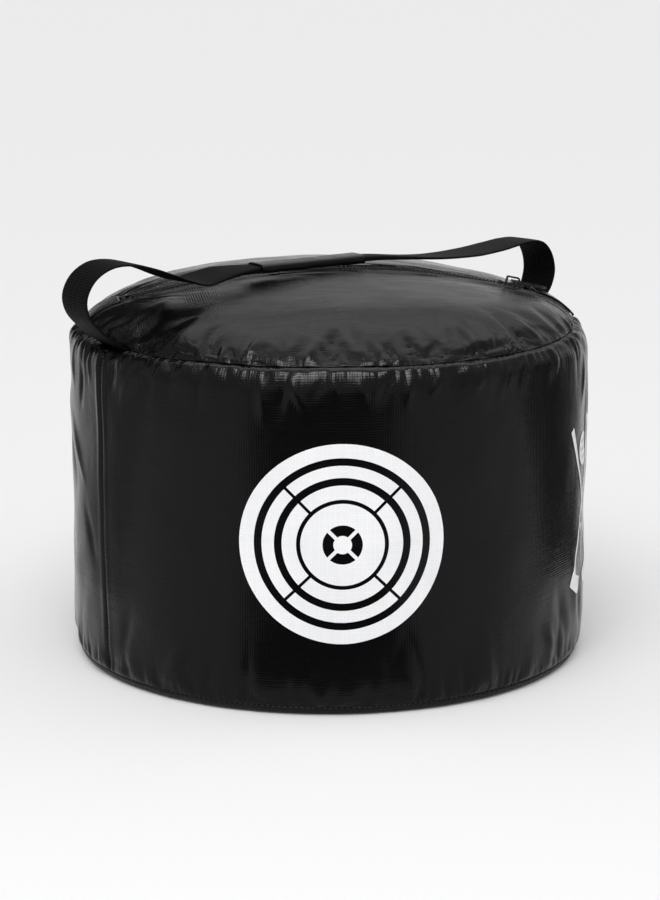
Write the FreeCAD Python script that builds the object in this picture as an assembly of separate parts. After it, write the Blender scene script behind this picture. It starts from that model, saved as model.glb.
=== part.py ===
"""A stuffed hitting bag for golf practice: a round drum of coated cloth with a zipped top and a handle.

Millimetres, +Z up. The origin is the middle of the flat base, and the printed target faces -Y.
Azimuths are degrees from -Y towards +X. What is sewn through the two side seams is built in the
seam frame, whose +X runs towards the right-hand seam, and the zip is built in the zip frame.
"""

import FreeCAD
import Part

import math
import os

V = FreeCAD.Vector

# The stuffed shape.
WALL_R = 200.0  # outside of the upright wall
RIM_Z = 257.5  # height of the seam between wall and domed top
RIM_INSET = 9.0  # that seam lies this far inside the wall
SHOULDER_DROP = 19.5  # the wall curves in over this height below the rim seam
BASE_SEAM_Z = 6.0  # height of the seam between wall and bottom panel, and radius of the base's edge
BASE_INSET = 3.0
HEEL_RISE = 26.0  # the wall curves in over this height above the base seam
DOME_RISE = 39.5  # top of the dome above the rim seam
DOME_R = 640.0  # radius of the wide arc over the top, which the zip follows
PUFF_WIDTH = 29.0  # the dome's puffed edge, inside the rim seam

# Cloth, seams and tapes.
SKIN = 0.8  # coated woven panel
BASE_SKIN = 1.2  # heavier bottom panel
ALLOWANCE = 8.0  # seam allowance turned in
PLY_GAP = 0.05  # between plies that lie on each other
SEAT_GAP = 0.3  # between a soft or loose piece and its seat
BINDING = 0.6  # binding tape folded over the allowances
BINDING_COVER = 4.0  # how far the binding reaches back from the raw edge
RIM_FOLD_ANGLE = 35.0  # the rim allowances slope down and in by this
BASE_FOLD_ANGLE = 15.0  # the base allowances slope up and in by this
SEAM_YAW = 30.0  # turns +X to the right-hand side seam, at azimuth 120

# Zip: two tapes, two rows of moulded teeth, stops and end tabs.
ZIP_YAW = 5.0  # turns +X to the right-hand end of the zip, at azimuth 95
TAPE = 0.8
TAPE_EDGE = 2.4  # bare edge of each tape, from the middle line
TAPE_REACH = 18.0  # far edge of each tape, under its panel
TAPE_END_INSET = 8.0  # the tapes stop this far inside the rim seam
TOOTH_PITCH = 2.9
TOOTH_LENGTH = 1.7
TOOTH_HEIGHT = 4.4
TOOTH_INNER = 0.6  # the slider's post runs in the slit that this leaves
TOOTH_OUTER = 3.6
TEETH_INSET = 36.0  # the rows stop this far inside the rim seam
STOP_LENGTH = 3.0
TAB_WIDTH = 24.0
TAB_THICK = 1.6
TAB_INSET = 4.0  # the end tabs stop this far inside the rim seam

# Slider and pull.
SLIDER_BACK = 11.0  # the closed slider's middle, inside the end of the teeth
SLIDER_LENGTH = 19.0
SLIDER_WALL = 2.2
SLIDER_PLATE = 1.3
SLIDER_PLAY = 0.4  # all round the teeth and tapes
SLIDER_EDGE_GAP = 1.3  # from the slider's side to the edge of a top panel
POST_THICK = 0.7
POST_LENGTH = 8.0
BRIDGE_WIDTH = 3.0
BRIDGE_LENGTH = 11.0
BRIDGE_BAR = 1.2
BRIDGE_OPEN = 3.4  # clear height under the bridge
PULL_LENGTH = 27.0
PULL_THICK = 1.6
PULL_SIDE = 1.9  # width of each arm beside the bridge
PULL_PLAY = 0.6  # between each arm and the bridge
PULL_HOLE = 2.0
PULL_ROUND = 0.8  # radius of its far corners, as a share of half its width

# Handle webbing.
WEB_WIDTH = 38.0
WEB_THICK = 2.2
FOLDED_WIDTH = 19.0  # the middle is folded in half lengthwise
FOLDED_THICK = 4.6
GRIP_LEFT = 66.0  # the grip's ends, each from the middle of the bag along the seam frame
GRIP_RIGHT = 27.0
GRIP_CLEAR = 2.7  # from the top of the dome to the underside of the grip
GRIP_WALL = 1.0
GRIP_PLAY = 0.2
GRIP_ROUND = 0.7  # radius of the sleeve's long edges, as a share of half its thickness
TAIL = 17.0  # webbing inside the rim seam
ROOT_RUN = 6.0  # straight webbing just outside the rim seam
LOOP_SECTIONS = 36

# The free webbing, chosen by hand. Near the rim, each row is out from the rim seam and up from it. Near the
# grip, it is out from the grip's end and up from the grip's middle. The roll in degrees lifts the rear edge,
# and the last number goes from 0, folded, to 1, open to the full width.
LEFT_NEAR_RIM = [
    (14.0, 10.0, 0.0, 1.0),
    (26.5, 23.5, 0.0, 1.0),
    (29.5, 37.5, 0.0, 1.0),
    (22.5, 51.0, 0.0, 1.0),
    (8.5, 59.2, 0.0, 1.0),
    (-9.0, 59.8, -5.0, 1.0),
    (-29.0, 54.1, -8.0, 1.0),
]
LEFT_NEAR_GRIP = [
    (78.7, 1.6, -6.0, 1.0),
    (63.7, -3.6, -4.0, 0.95),
    (48.7, -4.3, 8.0, 0.8),
    (31.7, -1.6, 14.0, 0.5),
    (15.7, -0.1, 8.0, 0.2),
]
RIGHT_NEAR_RIM = [
    (10.0, 11.0, -2.0, 1.0),
    (12.5, 23.5, -4.0, 1.0),
    (9.0, 37.0, -4.0, 1.0),
    (0.5, 46.0, -3.0, 1.0),
    (-14.0, 46.9, -2.0, 1.0),
    (-36.0, 43.7, 0.0, 1.0),
]
RIGHT_NEAR_GRIP = [
    (102.7, -4.6, 0.0, 0.95),
    (72.7, -5.0, -2.0, 0.75),
    (44.7, -3.2, -4.0, 0.4),
    (17.7, -0.8, -3.0, 0.12),
]

# Thread bars that hold the webbing's tails.
BAR_THICK = 0.6
BAR_WIDTH = 2.0
BAR_MARGIN = 4.0  # bare webbing at each end of a bar
BAR_FIRST = 2.0  # first bar, in from the allowance's raw edge
BAR_STEP = 3.5

# Printed target, from its middle outwards.
INK = 0.15
INK_LIFT = 0.05
TARGET_Z = 129.5
TARGET_MIDDLE_R = 6.7
TARGET_GAP = 7.7  # bare, round the middle
TARGET_DISC = 15.9  # inked, round the gap
INNER_RING_GAP = 3.0  # bare, inside each ring
INNER_RING = 10.4
MIDDLE_RING_GAP = 5.5
MIDDLE_RING = 8.9
OUTER_RING_GAP = 5.5
OUTER_RING = 10.4
SPOKE = 2.3  # bare, across all the rings but the last
CROSS_BAR = 2.6  # inked, across the gap round the middle

# Printed emblem: two crossed clubs, a ball and a tee.
EMBLEM_AZIMUTH = 73.0
EMBLEM_Z = 125.0
EMBLEM_HEIGHT = 140.0
EMBLEM_LEAN = 28.0  # each club leans this far from upright
CLUB_GRIP_WIDTH = 6.4
CLUB_GRIP_LENGTH = 36.0
SHAFT = 3.0
HEAD_LENGTH = 24.0
HEAD_DEPTH = 14.0
BALL_R = 13.0
DIMPLE_R = 1.5
DIMPLES = 6  # round the middle one
TEE_WIDTH = 11.0
TEE_LENGTH = 30.0

# Stuffing: bundles of rags that lie on each other.
FILL_SPLITS = [92.0, 184.0]
FILL_SLACK = 1.0  # extra room past the ends of seams and tails

# Values worked out from the sizes above.
BIG = 1000.0
RIM_R = WALL_R - RIM_INSET
BASE_SEAM_R = WALL_R - BASE_INSET
SHOULDER_Z = RIM_Z - SHOULDER_DROP
HEEL_Z = BASE_SEAM_Z + HEEL_RISE
DOME_TOP_Z = RIM_Z + DOME_RISE
DOME_CENTRE_Z = DOME_TOP_Z - DOME_R
DOME_EDGE_R = RIM_R - PUFF_WIDTH
FOLD_HALF = PLY_GAP + SKIN  # one allowance, from the middle plane of a seam
BINDING_INSIDE = FOLD_HALF + PLY_GAP
BIND_HALF = BINDING_INSIDE + BINDING
BIND_REACH = ALLOWANCE + PLY_GAP + BINDING
TOOTH_MID = SKIN + PLY_GAP + TAPE / 2  # depth of the tapes' middle below the panels' outside
TEETH_REACH = RIM_R - TEETH_INSET  # the rows run this far each way from the middle
STOP_AT = TEETH_REACH + TOOTH_LENGTH + STOP_LENGTH / 2
SLIDER_AT = TEETH_REACH - SLIDER_BACK
CHANNEL_HALF = TOOTH_OUTER + SLIDER_PLAY
SLIDER_HALF = CHANNEL_HALF + SLIDER_WALL
ZIP_GAP = SLIDER_HALF + SLIDER_EDGE_GAP  # half the opening between the two top panels
CHANNEL_TOP = TOOTH_HEIGHT / 2 - TOOTH_MID + SLIDER_PLAY  # above the panels' outside
CHANNEL_LOW = -TOOTH_HEIGHT / 2 - TOOTH_MID - SLIDER_PLAY
SLIDER_TOP = CHANNEL_TOP + SLIDER_PLATE
SLIDER_LOW = CHANNEL_LOW - SLIDER_PLATE
PULL_AXIS = SLIDER_TOP + SEAT_GAP + PULL_THICK / 2  # height of the pull's bar above the panels' outside
FOLDED_HALF_W = FOLDED_WIDTH / 2
FOLDED_HALF_T = FOLDED_THICK / 2
SLEEVE_HALF_W = FOLDED_HALF_W + GRIP_PLAY + GRIP_WALL
SLEEVE_HALF_T = FOLDED_HALF_T + GRIP_PLAY + GRIP_WALL
GRIP_Z = DOME_TOP_Z + GRIP_CLEAR + SLEEVE_HALF_T


def ground(r, z):
    """A point of an outline, at radius r."""
    return V(r, 0, z)


def line(a, b):
    return Part.LineSegment(a, b).toShape()


def arc(centre, radius, first, last):
    """An arc in the outline's plane, with angles in degrees from outwards."""
    points = []
    for angle in (first, (first + last) / 2, last):
        a = math.radians(angle)
        points.append(ground(centre[0] + radius * math.cos(a), centre[1] + radius * math.sin(a)))
    return Part.Arc(*points).toShape()


def shoulder(inward, rise):
    """Radius of the arc that leaves the upright wall and reaches a seam that far in and that far along."""
    return (inward**2 + rise**2) / (2 * inward)


def wall_outline(inset):
    """The wall from base seam to rim seam, moved in by inset."""
    rim_arc = shoulder(RIM_INSET, SHOULDER_DROP)
    heel_arc = shoulder(BASE_INSET, HEEL_RISE)
    rim_end = math.degrees(math.asin(SHOULDER_DROP / rim_arc))
    heel_end = math.degrees(math.asin(HEEL_RISE / heel_arc))
    return [
        arc((WALL_R - heel_arc, HEEL_Z), heel_arc - inset, -heel_end, 0),
        line(ground(WALL_R - inset, HEEL_Z), ground(WALL_R - inset, SHOULDER_Z)),
        arc((WALL_R - rim_arc, SHOULDER_Z), rim_arc - inset, 0, rim_end),
    ]


def dome_outline(inset):
    """The top from rim seam to the axis, moved in by inset. The puffed edge meets the wide arc smoothly."""
    height = math.sqrt(DOME_R**2 - DOME_EDGE_R**2)
    meet = (DOME_EDGE_R, DOME_CENTRE_Z + height)
    normal = (DOME_EDGE_R / DOME_R, height / DOME_R)
    away = (meet[0] - RIM_R, meet[1] - RIM_Z)
    radius = (away[0] ** 2 + away[1] ** 2) / (2 * (away[0] * normal[0] + away[1] * normal[1]))
    centre = (meet[0] - radius * normal[0], meet[1] - radius * normal[1])
    rim_angle = math.degrees(math.atan2(RIM_Z - centre[1], RIM_R - centre[0]))
    meet_angle = math.degrees(math.atan2(normal[1], normal[0]))
    return [
        arc(centre, radius - inset, rim_angle, meet_angle),
        arc((0, DOME_CENTRE_Z), DOME_R - inset, meet_angle, 90),
    ]


def base_outline(inset):
    """The bottom panel from the axis to the base seam, moved in by inset."""
    flat_r = BASE_SEAM_R - BASE_SEAM_Z
    return [
        line(ground(0, inset), ground(flat_r, inset)),
        arc((flat_r, BASE_SEAM_Z), BASE_SEAM_Z - inset, -90, 0),
    ]


def revolved(edges):
    """A solid of revolution from the edges of one closed outline."""
    wire = Part.Wire(Part.__sortEdges__(edges))
    return Part.Face(wire).revolve(V(0, 0, 0), V(0, 0, 1), 360)


def layer_edges(outline, outer, inner):
    """The closed outline of the layer between two insets."""
    outside = outline(outer)
    inside = outline(inner)
    links = []
    for end in (0, -1):
        links.append(line(outside[end].Vertexes[end].Point, inside[end].Vertexes[end].Point))
    return outside + inside + links


def skin(outline, outer, inner):
    """The layer between two insets of an outline, all the way round."""
    return revolved(layer_edges(outline, outer, inner))


def inner_volume(inset):
    """The whole inside of the bag, moved in by inset from the panels' outsides."""
    edges = base_outline(inset + BASE_SKIN - SKIN) + wall_outline(inset) + dome_outline(inset)
    joints = [
        (edges[1].Vertexes[-1].Point, edges[2].Vertexes[0].Point),
        (edges[4].Vertexes[-1].Point, edges[5].Vertexes[0].Point),
        (edges[6].Vertexes[-1].Point, edges[0].Vertexes[0].Point),
    ]
    return revolved(edges + [line(a, b) for a, b in joints])


def turned(shape, yaw):
    """The shape turned about the bag's upright axis."""
    shape.rotate(V(0, 0, 0), V(0, 0, 1), yaw)
    return shape


def block(low, high):
    """A box from its lowest and highest corners."""
    size = [high[k] - low[k] for k in range(3)]
    return Part.makeBox(size[0], size[1], size[2], V(*low))


def half_space(side, start, yaw):
    """All the space on one side of an upright plane through the axis, from start outwards."""
    if side < 0:
        space = block((-BIG, -BIG, -BIG), (BIG, -start, BIG))
    else:
        space = block((-BIG, start, -BIG), (BIG, BIG, BIG))
    return turned(space, yaw)


def band(half_width, yaw):
    """All the space within half_width of an upright plane through the axis."""
    return turned(block((-BIG, -half_width, -BIG), (BIG, half_width, BIG)), yaw)


def folded_ring(seam, angle, first, last, low, high):
    """A ring of cloth at a seam: first to last along the fold, low to high across it."""
    a = math.radians(angle)
    along = (-math.cos(a), -math.sin(a))
    across = (math.sin(a), -math.cos(a))
    corners = []
    for t, u in ((first, low), (last, low), (last, high), (first, high)):
        corners.append(ground(seam[0] + t * along[0] + u * across[0], seam[1] + t * along[1] + u * across[1]))
    corners.append(corners[0])
    return Part.Face(Part.makePolygon(corners)).revolve(V(0, 0, 0), V(0, 0, 1), 360)


def rim_ring(first, last, low, high):
    return folded_ring((RIM_R, RIM_Z), RIM_FOLD_ANGLE, first, last, low, high)


def base_ring(first, last, low, high):
    return folded_ring((BASE_SEAM_R, BASE_SEAM_Z), -BASE_FOLD_ANGLE, first, last, low, high)


def binding(ring):
    """Tape folded over both allowances of a seam, made with that seam's ring function."""
    tape = ring(ALLOWANCE - BINDING_COVER, BIND_REACH, -BIND_HALF, BIND_HALF)
    return tape.cut(ring(0, ALLOWANCE + PLY_GAP, -BINDING_INSIDE, BINDING_INSIDE))


def side_allowance(end, low, high, deep, shallow):
    """An upright strip inside the wall at one side seam. Low and high are measured across the seam."""
    near = WALL_R - SKIN - deep
    far = WALL_R - shallow
    xs = sorted((end * near, end * far))
    return turned(block((xs[0], low, HEEL_Z), (xs[1], high, SHOULDER_Z)), SEAM_YAW)


def tail_plate(end, thick, width, inward, outward, lift=0.0):
    """A plate along the rim fold at one end of the handle, raised off the fold by lift."""
    plate = block((-inward, -width / 2, lift - thick / 2), (outward, width / 2, lift + thick / 2))
    plate.rotate(V(0, 0, 0), V(0, 1, 0), -RIM_FOLD_ANGLE)
    plate.translate(V(RIM_R, 0, RIM_Z))
    return turned(plate, SEAM_YAW if end > 0 else SEAM_YAW + 180)


def without_tails(shape):
    """Leaves room where the handle's tails pass through the rim seam."""
    for end in (-1, 1):
        room = tail_plate(end, WEB_THICK + 2 * SEAT_GAP, WEB_WIDTH + 2 * SEAT_GAP, TAIL + SEAT_GAP, ROOT_RUN)
        shape = shape.cut(room)
    return shape


def side_panel(side):
    """One of the two wall panels, with its allowances turned in at the rim, the base and both side seams."""
    cloth = skin(wall_outline, 0, SKIN)
    cloth = cloth.fuse(rim_ring(0, ALLOWANCE, PLY_GAP, FOLD_HALF))
    cloth = cloth.fuse(base_ring(SEAT_GAP, ALLOWANCE, -FOLD_HALF, -PLY_GAP))
    cloth = cloth.common(half_space(side, PLY_GAP, SEAM_YAW))
    low, high = sorted((side * PLY_GAP, side * FOLD_HALF))
    for end in (-1, 1):
        cloth = cloth.fuse(side_allowance(end, low, high, ALLOWANCE, SKIN / 2))
    return without_tails(cloth).removeSplitter()


def top_panel(side):
    """One half of the domed top, up to its edge beside the zip."""
    cloth = skin(dome_outline, 0, SKIN)
    cloth = cloth.fuse(rim_ring(SEAT_GAP, ALLOWANCE, -FOLD_HALF, -PLY_GAP))
    cloth = cloth.common(half_space(side, ZIP_GAP, ZIP_YAW))
    return without_tails(cloth).removeSplitter()


def bottom_panel():
    cloth = skin(base_outline, 0, BASE_SKIN)
    return cloth.fuse(base_ring(SEAT_GAP, ALLOWANCE, PLY_GAP, FOLD_HALF)).removeSplitter()


def rim_binding():
    """The tape inside the rim seam. It stops at the zip's tapes and at the handle's tails."""
    return without_tails(binding(rim_ring).cut(band(TAPE_REACH + SEAT_GAP, ZIP_YAW)))


def side_seam_tape(end):
    """Tape folded over the two upright allowances of one side seam."""
    tape = side_allowance(end, -BIND_HALF, BIND_HALF, BIND_REACH, SKIN + ALLOWANCE - BINDING_COVER)
    return tape.cut(side_allowance(end, -BINDING_INSIDE, BINDING_INSIDE, ALLOWANCE + PLY_GAP, 0))


def dome_ball(inset):
    """The ball that the wide arc of the top is part of. Its poles lie off the zip, at the sides."""
    return Part.makeSphere(DOME_R - inset, V(0, 0, DOME_CENTRE_Z), V(0, 1, 0))


def zip_tape(side):
    """One woven tape, under the edge of its top panel: a wide arc with two curved ends."""
    top = SKIN + PLY_GAP
    low, high = sorted((side * TAPE_EDGE, side * TAPE_REACH))
    reach = RIM_R - TAPE_END_INSET
    wide = dome_ball(top).cut(dome_ball(top + TAPE))
    wide = wide.common(block((-TEETH_REACH, low, 0), (TEETH_REACH, high, BIG)))
    ends = skin(dome_outline, top, top + TAPE)
    ends = ends.common(block((-reach, low, 0), (reach, high, BIG)))
    ends = ends.cut(block((-TEETH_REACH, -BIG, 0), (TEETH_REACH, BIG, BIG)))
    return turned(wide.fuse(ends), ZIP_YAW)


def on_zip(shape, distance):
    """Puts a shape made at the zip's own origin onto the chain, this far out, square to the chain."""
    angle = math.degrees(math.asin(distance / DOME_R))
    shape.translate(V(0, 0, DOME_R))
    shape.rotate(V(0, 0, 0), V(0, 1, 0), angle)
    shape.translate(V(0, 0, DOME_CENTRE_Z))
    return turned(shape, ZIP_YAW)


def tape_slot(side):
    """Room for one tape's bare edge inside a tooth or stop."""
    low, high = sorted((side * (TAPE_EDGE - PLY_GAP), side * BIG))
    half_height = TAPE / 2 + PLY_GAP
    return block((-BIG, low, -TOOTH_MID - half_height), (BIG, high, -TOOTH_MID + half_height))


def tooth(side):
    """One moulded tooth that grips its tape's edge, with a bevelled tip."""
    nose = TOOTH_LENGTH / 4
    outline = [
        (-TOOTH_LENGTH / 2, side * TOOTH_OUTER),
        (-TOOTH_LENGTH / 2, side * (TOOTH_INNER + nose)),
        (-nose, side * TOOTH_INNER),
        (nose, side * TOOTH_INNER),
        (TOOTH_LENGTH / 2, side * (TOOTH_INNER + nose)),
        (TOOTH_LENGTH / 2, side * TOOTH_OUTER),
    ]
    points = [V(x, y, -TOOTH_MID - TOOTH_HEIGHT / 2) for x, y in outline]
    body = Part.Face(Part.makePolygon(points + [points[0]])).extrude(V(0, 0, TOOTH_HEIGHT))
    return body.cut(tape_slot(side))


def zip_teeth(side):
    """A row of teeth. The rear row sits half a pitch along from the front row."""
    count = int(2 * TEETH_REACH / TOOTH_PITCH)
    first = -TOOTH_PITCH * (count - 1) / 2 + side * TOOTH_PITCH / 4
    return Part.makeCompound([on_zip(tooth(side), first + n * TOOTH_PITCH) for n in range(count)])


def clamp(low, high):
    """A small block across the chain, between two distances from its middle line."""
    half_length = STOP_LENGTH / 2
    half_height = TOOTH_HEIGHT / 2
    return block(
        (-half_length, low, -TOOTH_MID - half_height),
        (half_length, high, -TOOTH_MID + half_height),
    )


def top_stops():
    """Two clamps beyond the closed end of the chain, one on each tape."""
    stops = []
    for side in (-1, 1):
        low, high = sorted((side * TOOTH_INNER, side * TOOTH_OUTER))
        stops.append(on_zip(clamp(low, high).cut(tape_slot(side)), STOP_AT))
    return Part.makeCompound(stops)


def bottom_stop():
    """The clamp that holds both tapes together at the open end."""
    body = clamp(-TOOTH_OUTER, TOOTH_OUTER)
    for side in (-1, 1):
        body = body.cut(tape_slot(side))
    return on_zip(body, -STOP_AT)


def end_tab(end):
    """A doubled strip of cloth sewn over one end of the zip, following the puffed edge of the top."""
    edges = layer_edges(dome_outline, -PLY_GAP - TAB_THICK, -PLY_GAP)
    strip = Part.Face(Part.Wire(Part.__sortEdges__(edges))).extrude(V(0, TAB_WIDTH, 0))
    strip.translate(V(0, -TAB_WIDTH / 2, 0))
    start = STOP_AT + STOP_LENGTH / 2 + SEAT_GAP + TAB_THICK
    strip = strip.common(block((start, -BIG, 0), (RIM_R - TAB_INSET, BIG, BIG)))
    return turned(strip, ZIP_YAW if end > 0 else ZIP_YAW + 180)


def upright_edges(shape):
    """Edges that run mainly up and down."""
    mainly = 0.9
    picked = []
    for edge in shape.Edges:
        low, high = edge.Vertexes[0].Point, edge.Vertexes[-1].Point
        if abs(high.z - low.z) > mainly * (high - low).Length:
            picked.append(edge)
    return picked


def bridge():
    """The arch on the slider that carries the pull."""
    foot = SLIDER_TOP - PLY_GAP
    crown = SLIDER_TOP + BRIDGE_OPEN + BRIDGE_BAR
    half_length = BRIDGE_LENGTH / 2
    half_width = BRIDGE_WIDTH / 2
    outer = block((-half_length, -half_width, foot), (half_length, half_width, crown))
    shoulders = []
    for edge in outer.Edges:
        low, high = edge.Vertexes[0].Point, edge.Vertexes[-1].Point
        if abs(high.y - low.y) > half_width and low.z > SLIDER_TOP:
            shoulders.append(edge)
    outer = outer.makeFillet(BRIDGE_OPEN / 2, shoulders)
    inside = half_length - BRIDGE_BAR
    return outer.cut(block((-inside, -BIG, foot), (inside, BIG, crown - BRIDGE_BAR)))


def slider_body():
    """Two plates and two side walls round the chain, a thin post between the rows, and the bridge."""
    half_length = SLIDER_LENGTH / 2
    body = block((-half_length, -SLIDER_HALF, SLIDER_LOW), (half_length, SLIDER_HALF, SLIDER_TOP))
    body = body.makeFillet(SLIDER_HALF / 2, upright_edges(body))
    body = body.cut(block((-BIG, -CHANNEL_HALF, CHANNEL_LOW), (BIG, CHANNEL_HALF, CHANNEL_TOP)))
    slot_half = TAPE / 2 + SLIDER_PLAY
    body = body.cut(block((-BIG, -BIG, -TOOTH_MID - slot_half), (BIG, BIG, -TOOTH_MID + slot_half)))
    plate_middle = SLIDER_PLATE / 2
    post = block(
        (-POST_LENGTH / 2, -POST_THICK / 2, CHANNEL_LOW - plate_middle),
        (POST_LENGTH / 2, POST_THICK / 2, CHANNEL_TOP + plate_middle),
    )
    return body.fuse(post).fuse(bridge()).removeSplitter()


def pull_tab():
    """A flat pull whose round bar lies under the bridge. It points towards the closed end of the zip."""
    half_thick = PULL_THICK / 2
    window_half = BRIDGE_WIDTH / 2 + PULL_PLAY
    half_width = window_half + PULL_SIDE
    crown = BRIDGE_OPEN + BRIDGE_BAR - SEAT_GAP - half_thick
    window = math.hypot(BRIDGE_LENGTH / 2, crown) + SLIDER_PLAY
    tab = block((0, -half_width, -half_thick), (PULL_LENGTH, half_width, half_thick))
    far_corners = [e for e in upright_edges(tab) if e.Vertexes[0].X > 0]
    tab = tab.makeFillet(half_width * PULL_ROUND, far_corners)
    tab = tab.cut(block((0, -window_half, -BIG), (window, window_half, BIG)))
    tab = tab.fuse(Part.makeCylinder(half_thick, 2 * half_width, V(0, -half_width, 0), V(0, 1, 0)))
    hole = Part.makeCylinder(PULL_HOLE / 2, BIG, V(PULL_LENGTH - half_width, 0, -BIG / 2))
    tab = tab.cut(hole).removeSplitter()
    tab.translate(V(0, 0, PULL_AXIS))
    return tab


def webbing_section(centre, along, roll, width, thick):
    """A rectangle of webbing, square to its path. A positive roll lifts the edge on the +Y side."""
    level = V(0, 1, 0)
    across = level - along * along.dot(level)
    across.normalize()
    normal = along.cross(across)
    a = math.radians(roll)
    wide = across * math.cos(a) + normal * math.sin(a)
    thin = normal * math.cos(a) - across * math.sin(a)
    corners = []
    for u, v in ((-1, -1), (1, -1), (1, 1), (-1, 1)):
        corners.append(centre + wide * (u * width / 2) + thin * (v * thick / 2))
    return Part.makePolygon(corners + [corners[0]])


def read_along(places, values, place):
    """A value at a place, by straight steps between the stations."""
    for k in range(len(places) - 1):
        if place <= places[k + 1]:
            share = (place - places[k]) / (places[k + 1] - places[k])
            return values[k] + share * (values[k + 1] - values[k])
    return values[-1]


def loop_stations(end, near_rim, near_grip):
    """Centre, roll and openness of one loop at each station, from the rim seam to the grip."""
    a = math.radians(RIM_FOLD_ANGLE)
    stations = [
        (V(end * RIM_R, 0, RIM_Z), 0.0, 1.0),
        (V(end * (RIM_R + ROOT_RUN * math.cos(a)), 0, RIM_Z + ROOT_RUN * math.sin(a)), 0.0, 1.0),
    ]
    for out, up, roll, openness in near_rim:
        stations.append((V(end * (RIM_R + out), 0, RIM_Z + up), roll, openness))
    grip_end = (GRIP_LEFT if end < 0 else GRIP_RIGHT) + SEAT_GAP
    for out, up, roll, openness in near_grip:
        stations.append((V(end * (grip_end + out), 0, GRIP_Z + up), roll, openness))
    stations.append((V(end * grip_end, 0, GRIP_Z), 0.0, 0.0))
    return stations


def handle_loop(end, near_rim, near_grip):
    """One loop: webbing that leaves the rim seam, turns over and narrows to the folded middle."""
    stations = loop_stations(end, near_rim, near_grip)
    points = [s[0] for s in stations]
    curve = Part.BSplineCurve()
    curve.interpolate(points)
    places = [curve.parameter(p) for p in points]
    outward = points[1] - points[0]
    outward.normalize()
    wires = [webbing_section(points[0] - outward * TAIL, outward, 0.0, WEB_WIDTH, WEB_THICK)]
    centres = []
    for n in range(LOOP_SECTIONS + 1):
        place = places[0] + (places[-1] - places[0]) * n / LOOP_SECTIONS
        along = V(*curve.tangent(place)[0]) if n < LOOP_SECTIONS else V(-end, 0, 0)
        roll = read_along(places, [s[1] for s in stations], place) * -end
        openness = read_along(places, [s[2] for s in stations], place)
        width = FOLDED_WIDTH + openness * (WEB_WIDTH - FOLDED_WIDTH)
        thick = WEB_THICK + (1 - openness) ** 2 * (FOLDED_THICK - WEB_THICK)
        centres.append(curve.value(place))
        wires.append(webbing_section(centres[-1], along, roll, width, thick))
    length = sum((centres[n + 1] - centres[n]).Length for n in range(LOOP_SECTIONS))
    print(f"handle loop {end:+d}: {length:.0f} mm of webbing from the rim seam to the grip")
    return turned(Part.makeLoft(wires, True, True), SEAM_YAW)


def handle_middle():
    """The middle of the webbing, folded in half lengthwise and held by the sleeve."""
    low = (-GRIP_LEFT, -FOLDED_HALF_W, GRIP_Z - FOLDED_HALF_T)
    high = (GRIP_RIGHT, FOLDED_HALF_W, GRIP_Z + FOLDED_HALF_T)
    return turned(block(low, high), SEAM_YAW)


def grip_sleeve():
    """A sewn sleeve of coated cloth round the folded middle."""
    outer = block(
        (-GRIP_LEFT, -SLEEVE_HALF_W, GRIP_Z - SLEEVE_HALF_T),
        (GRIP_RIGHT, SLEEVE_HALF_W, GRIP_Z + SLEEVE_HALF_T),
    )
    lengthwise = [e for e in outer.Edges if abs(e.Vertexes[0].X - e.Vertexes[-1].X) > GRIP_RIGHT]
    outer = outer.makeFillet(SLEEVE_HALF_T * GRIP_ROUND, lengthwise)
    half_w = SLEEVE_HALF_W - GRIP_WALL
    half_t = SLEEVE_HALF_T - GRIP_WALL
    bore = block((-BIG, -half_w, GRIP_Z - half_t), (BIG, half_w, GRIP_Z + half_t))
    return turned(outer.cut(bore), SEAM_YAW)


def handle_stitching():
    """Two bars of thick thread across each of the webbing's tails, inside the bag."""
    bars = []
    length = WEB_WIDTH - 2 * BAR_MARGIN
    lift = WEB_THICK / 2 + PLY_GAP + BAR_THICK / 2
    for end in (-1, 1):
        for n in range(2):
            start = ALLOWANCE + BAR_FIRST + n * BAR_STEP
            bars.append(tail_plate(end, BAR_THICK, length, start + BAR_WIDTH, -start, lift))
    return Part.makeCompound(bars)


def ink_layer():
    """The thin coat of ink just outside the wall."""
    return skin(wall_outline, -INK_LIFT - INK, -INK_LIFT)


def rod(radius, x, z):
    """A round bar through the front wall along Y."""
    return Part.makeCylinder(radius, BIG, V(x, -BIG, z), V(0, 1, 0))


def target_rod(radius):
    return rod(radius, 0, TARGET_Z)


def diagonals(width, reach):
    """Two crossed bars through the target's middle, at 45 degrees."""
    bars = []
    for angle in (45, 135):
        bar = block((-reach, -BIG, -width / 2), (reach, 0, width / 2))
        bar.rotate(V(0, 0, 0), V(0, 1, 0), angle)
        bar.translate(V(0, 0, TARGET_Z))
        bars.append(bar)
    return bars[0].fuse(bars[1])


def target_print():
    """A middle that four bars join to its disc, and rings round it, cut by bare spokes but for the last."""
    ink = ink_layer()
    gap_r = TARGET_MIDDLE_R + TARGET_GAP
    radius = gap_r + TARGET_DISC
    disc = target_rod(radius).cut(target_rod(gap_r)).fuse(target_rod(TARGET_MIDDLE_R))
    disc = disc.fuse(diagonals(CROSS_BAR, gap_r + CROSS_BAR))
    solids = ink.common(disc).Solids
    rings = [(INNER_RING_GAP, INNER_RING), (MIDDLE_RING_GAP, MIDDLE_RING), (OUTER_RING_GAP, OUTER_RING)]
    for n, (bare, inked) in enumerate(rings):
        inside = radius + bare
        radius = inside + inked
        ring = target_rod(radius).cut(target_rod(inside))
        if n < len(rings) - 1:
            ring = ring.cut(diagonals(SPOKE, radius + SPOKE))
        solids.extend(ink.common(ring).Solids)
    return Part.makeCompound(solids)


def stencil(points):
    """A flat shape, given by across and height, thick enough to reach through the wall's ink."""
    corners = [V(x, -BIG / 2, z) for x, z in points]
    return Part.Face(Part.makePolygon(corners + [corners[0]])).extrude(V(0, BIG / 2, 0))


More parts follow.
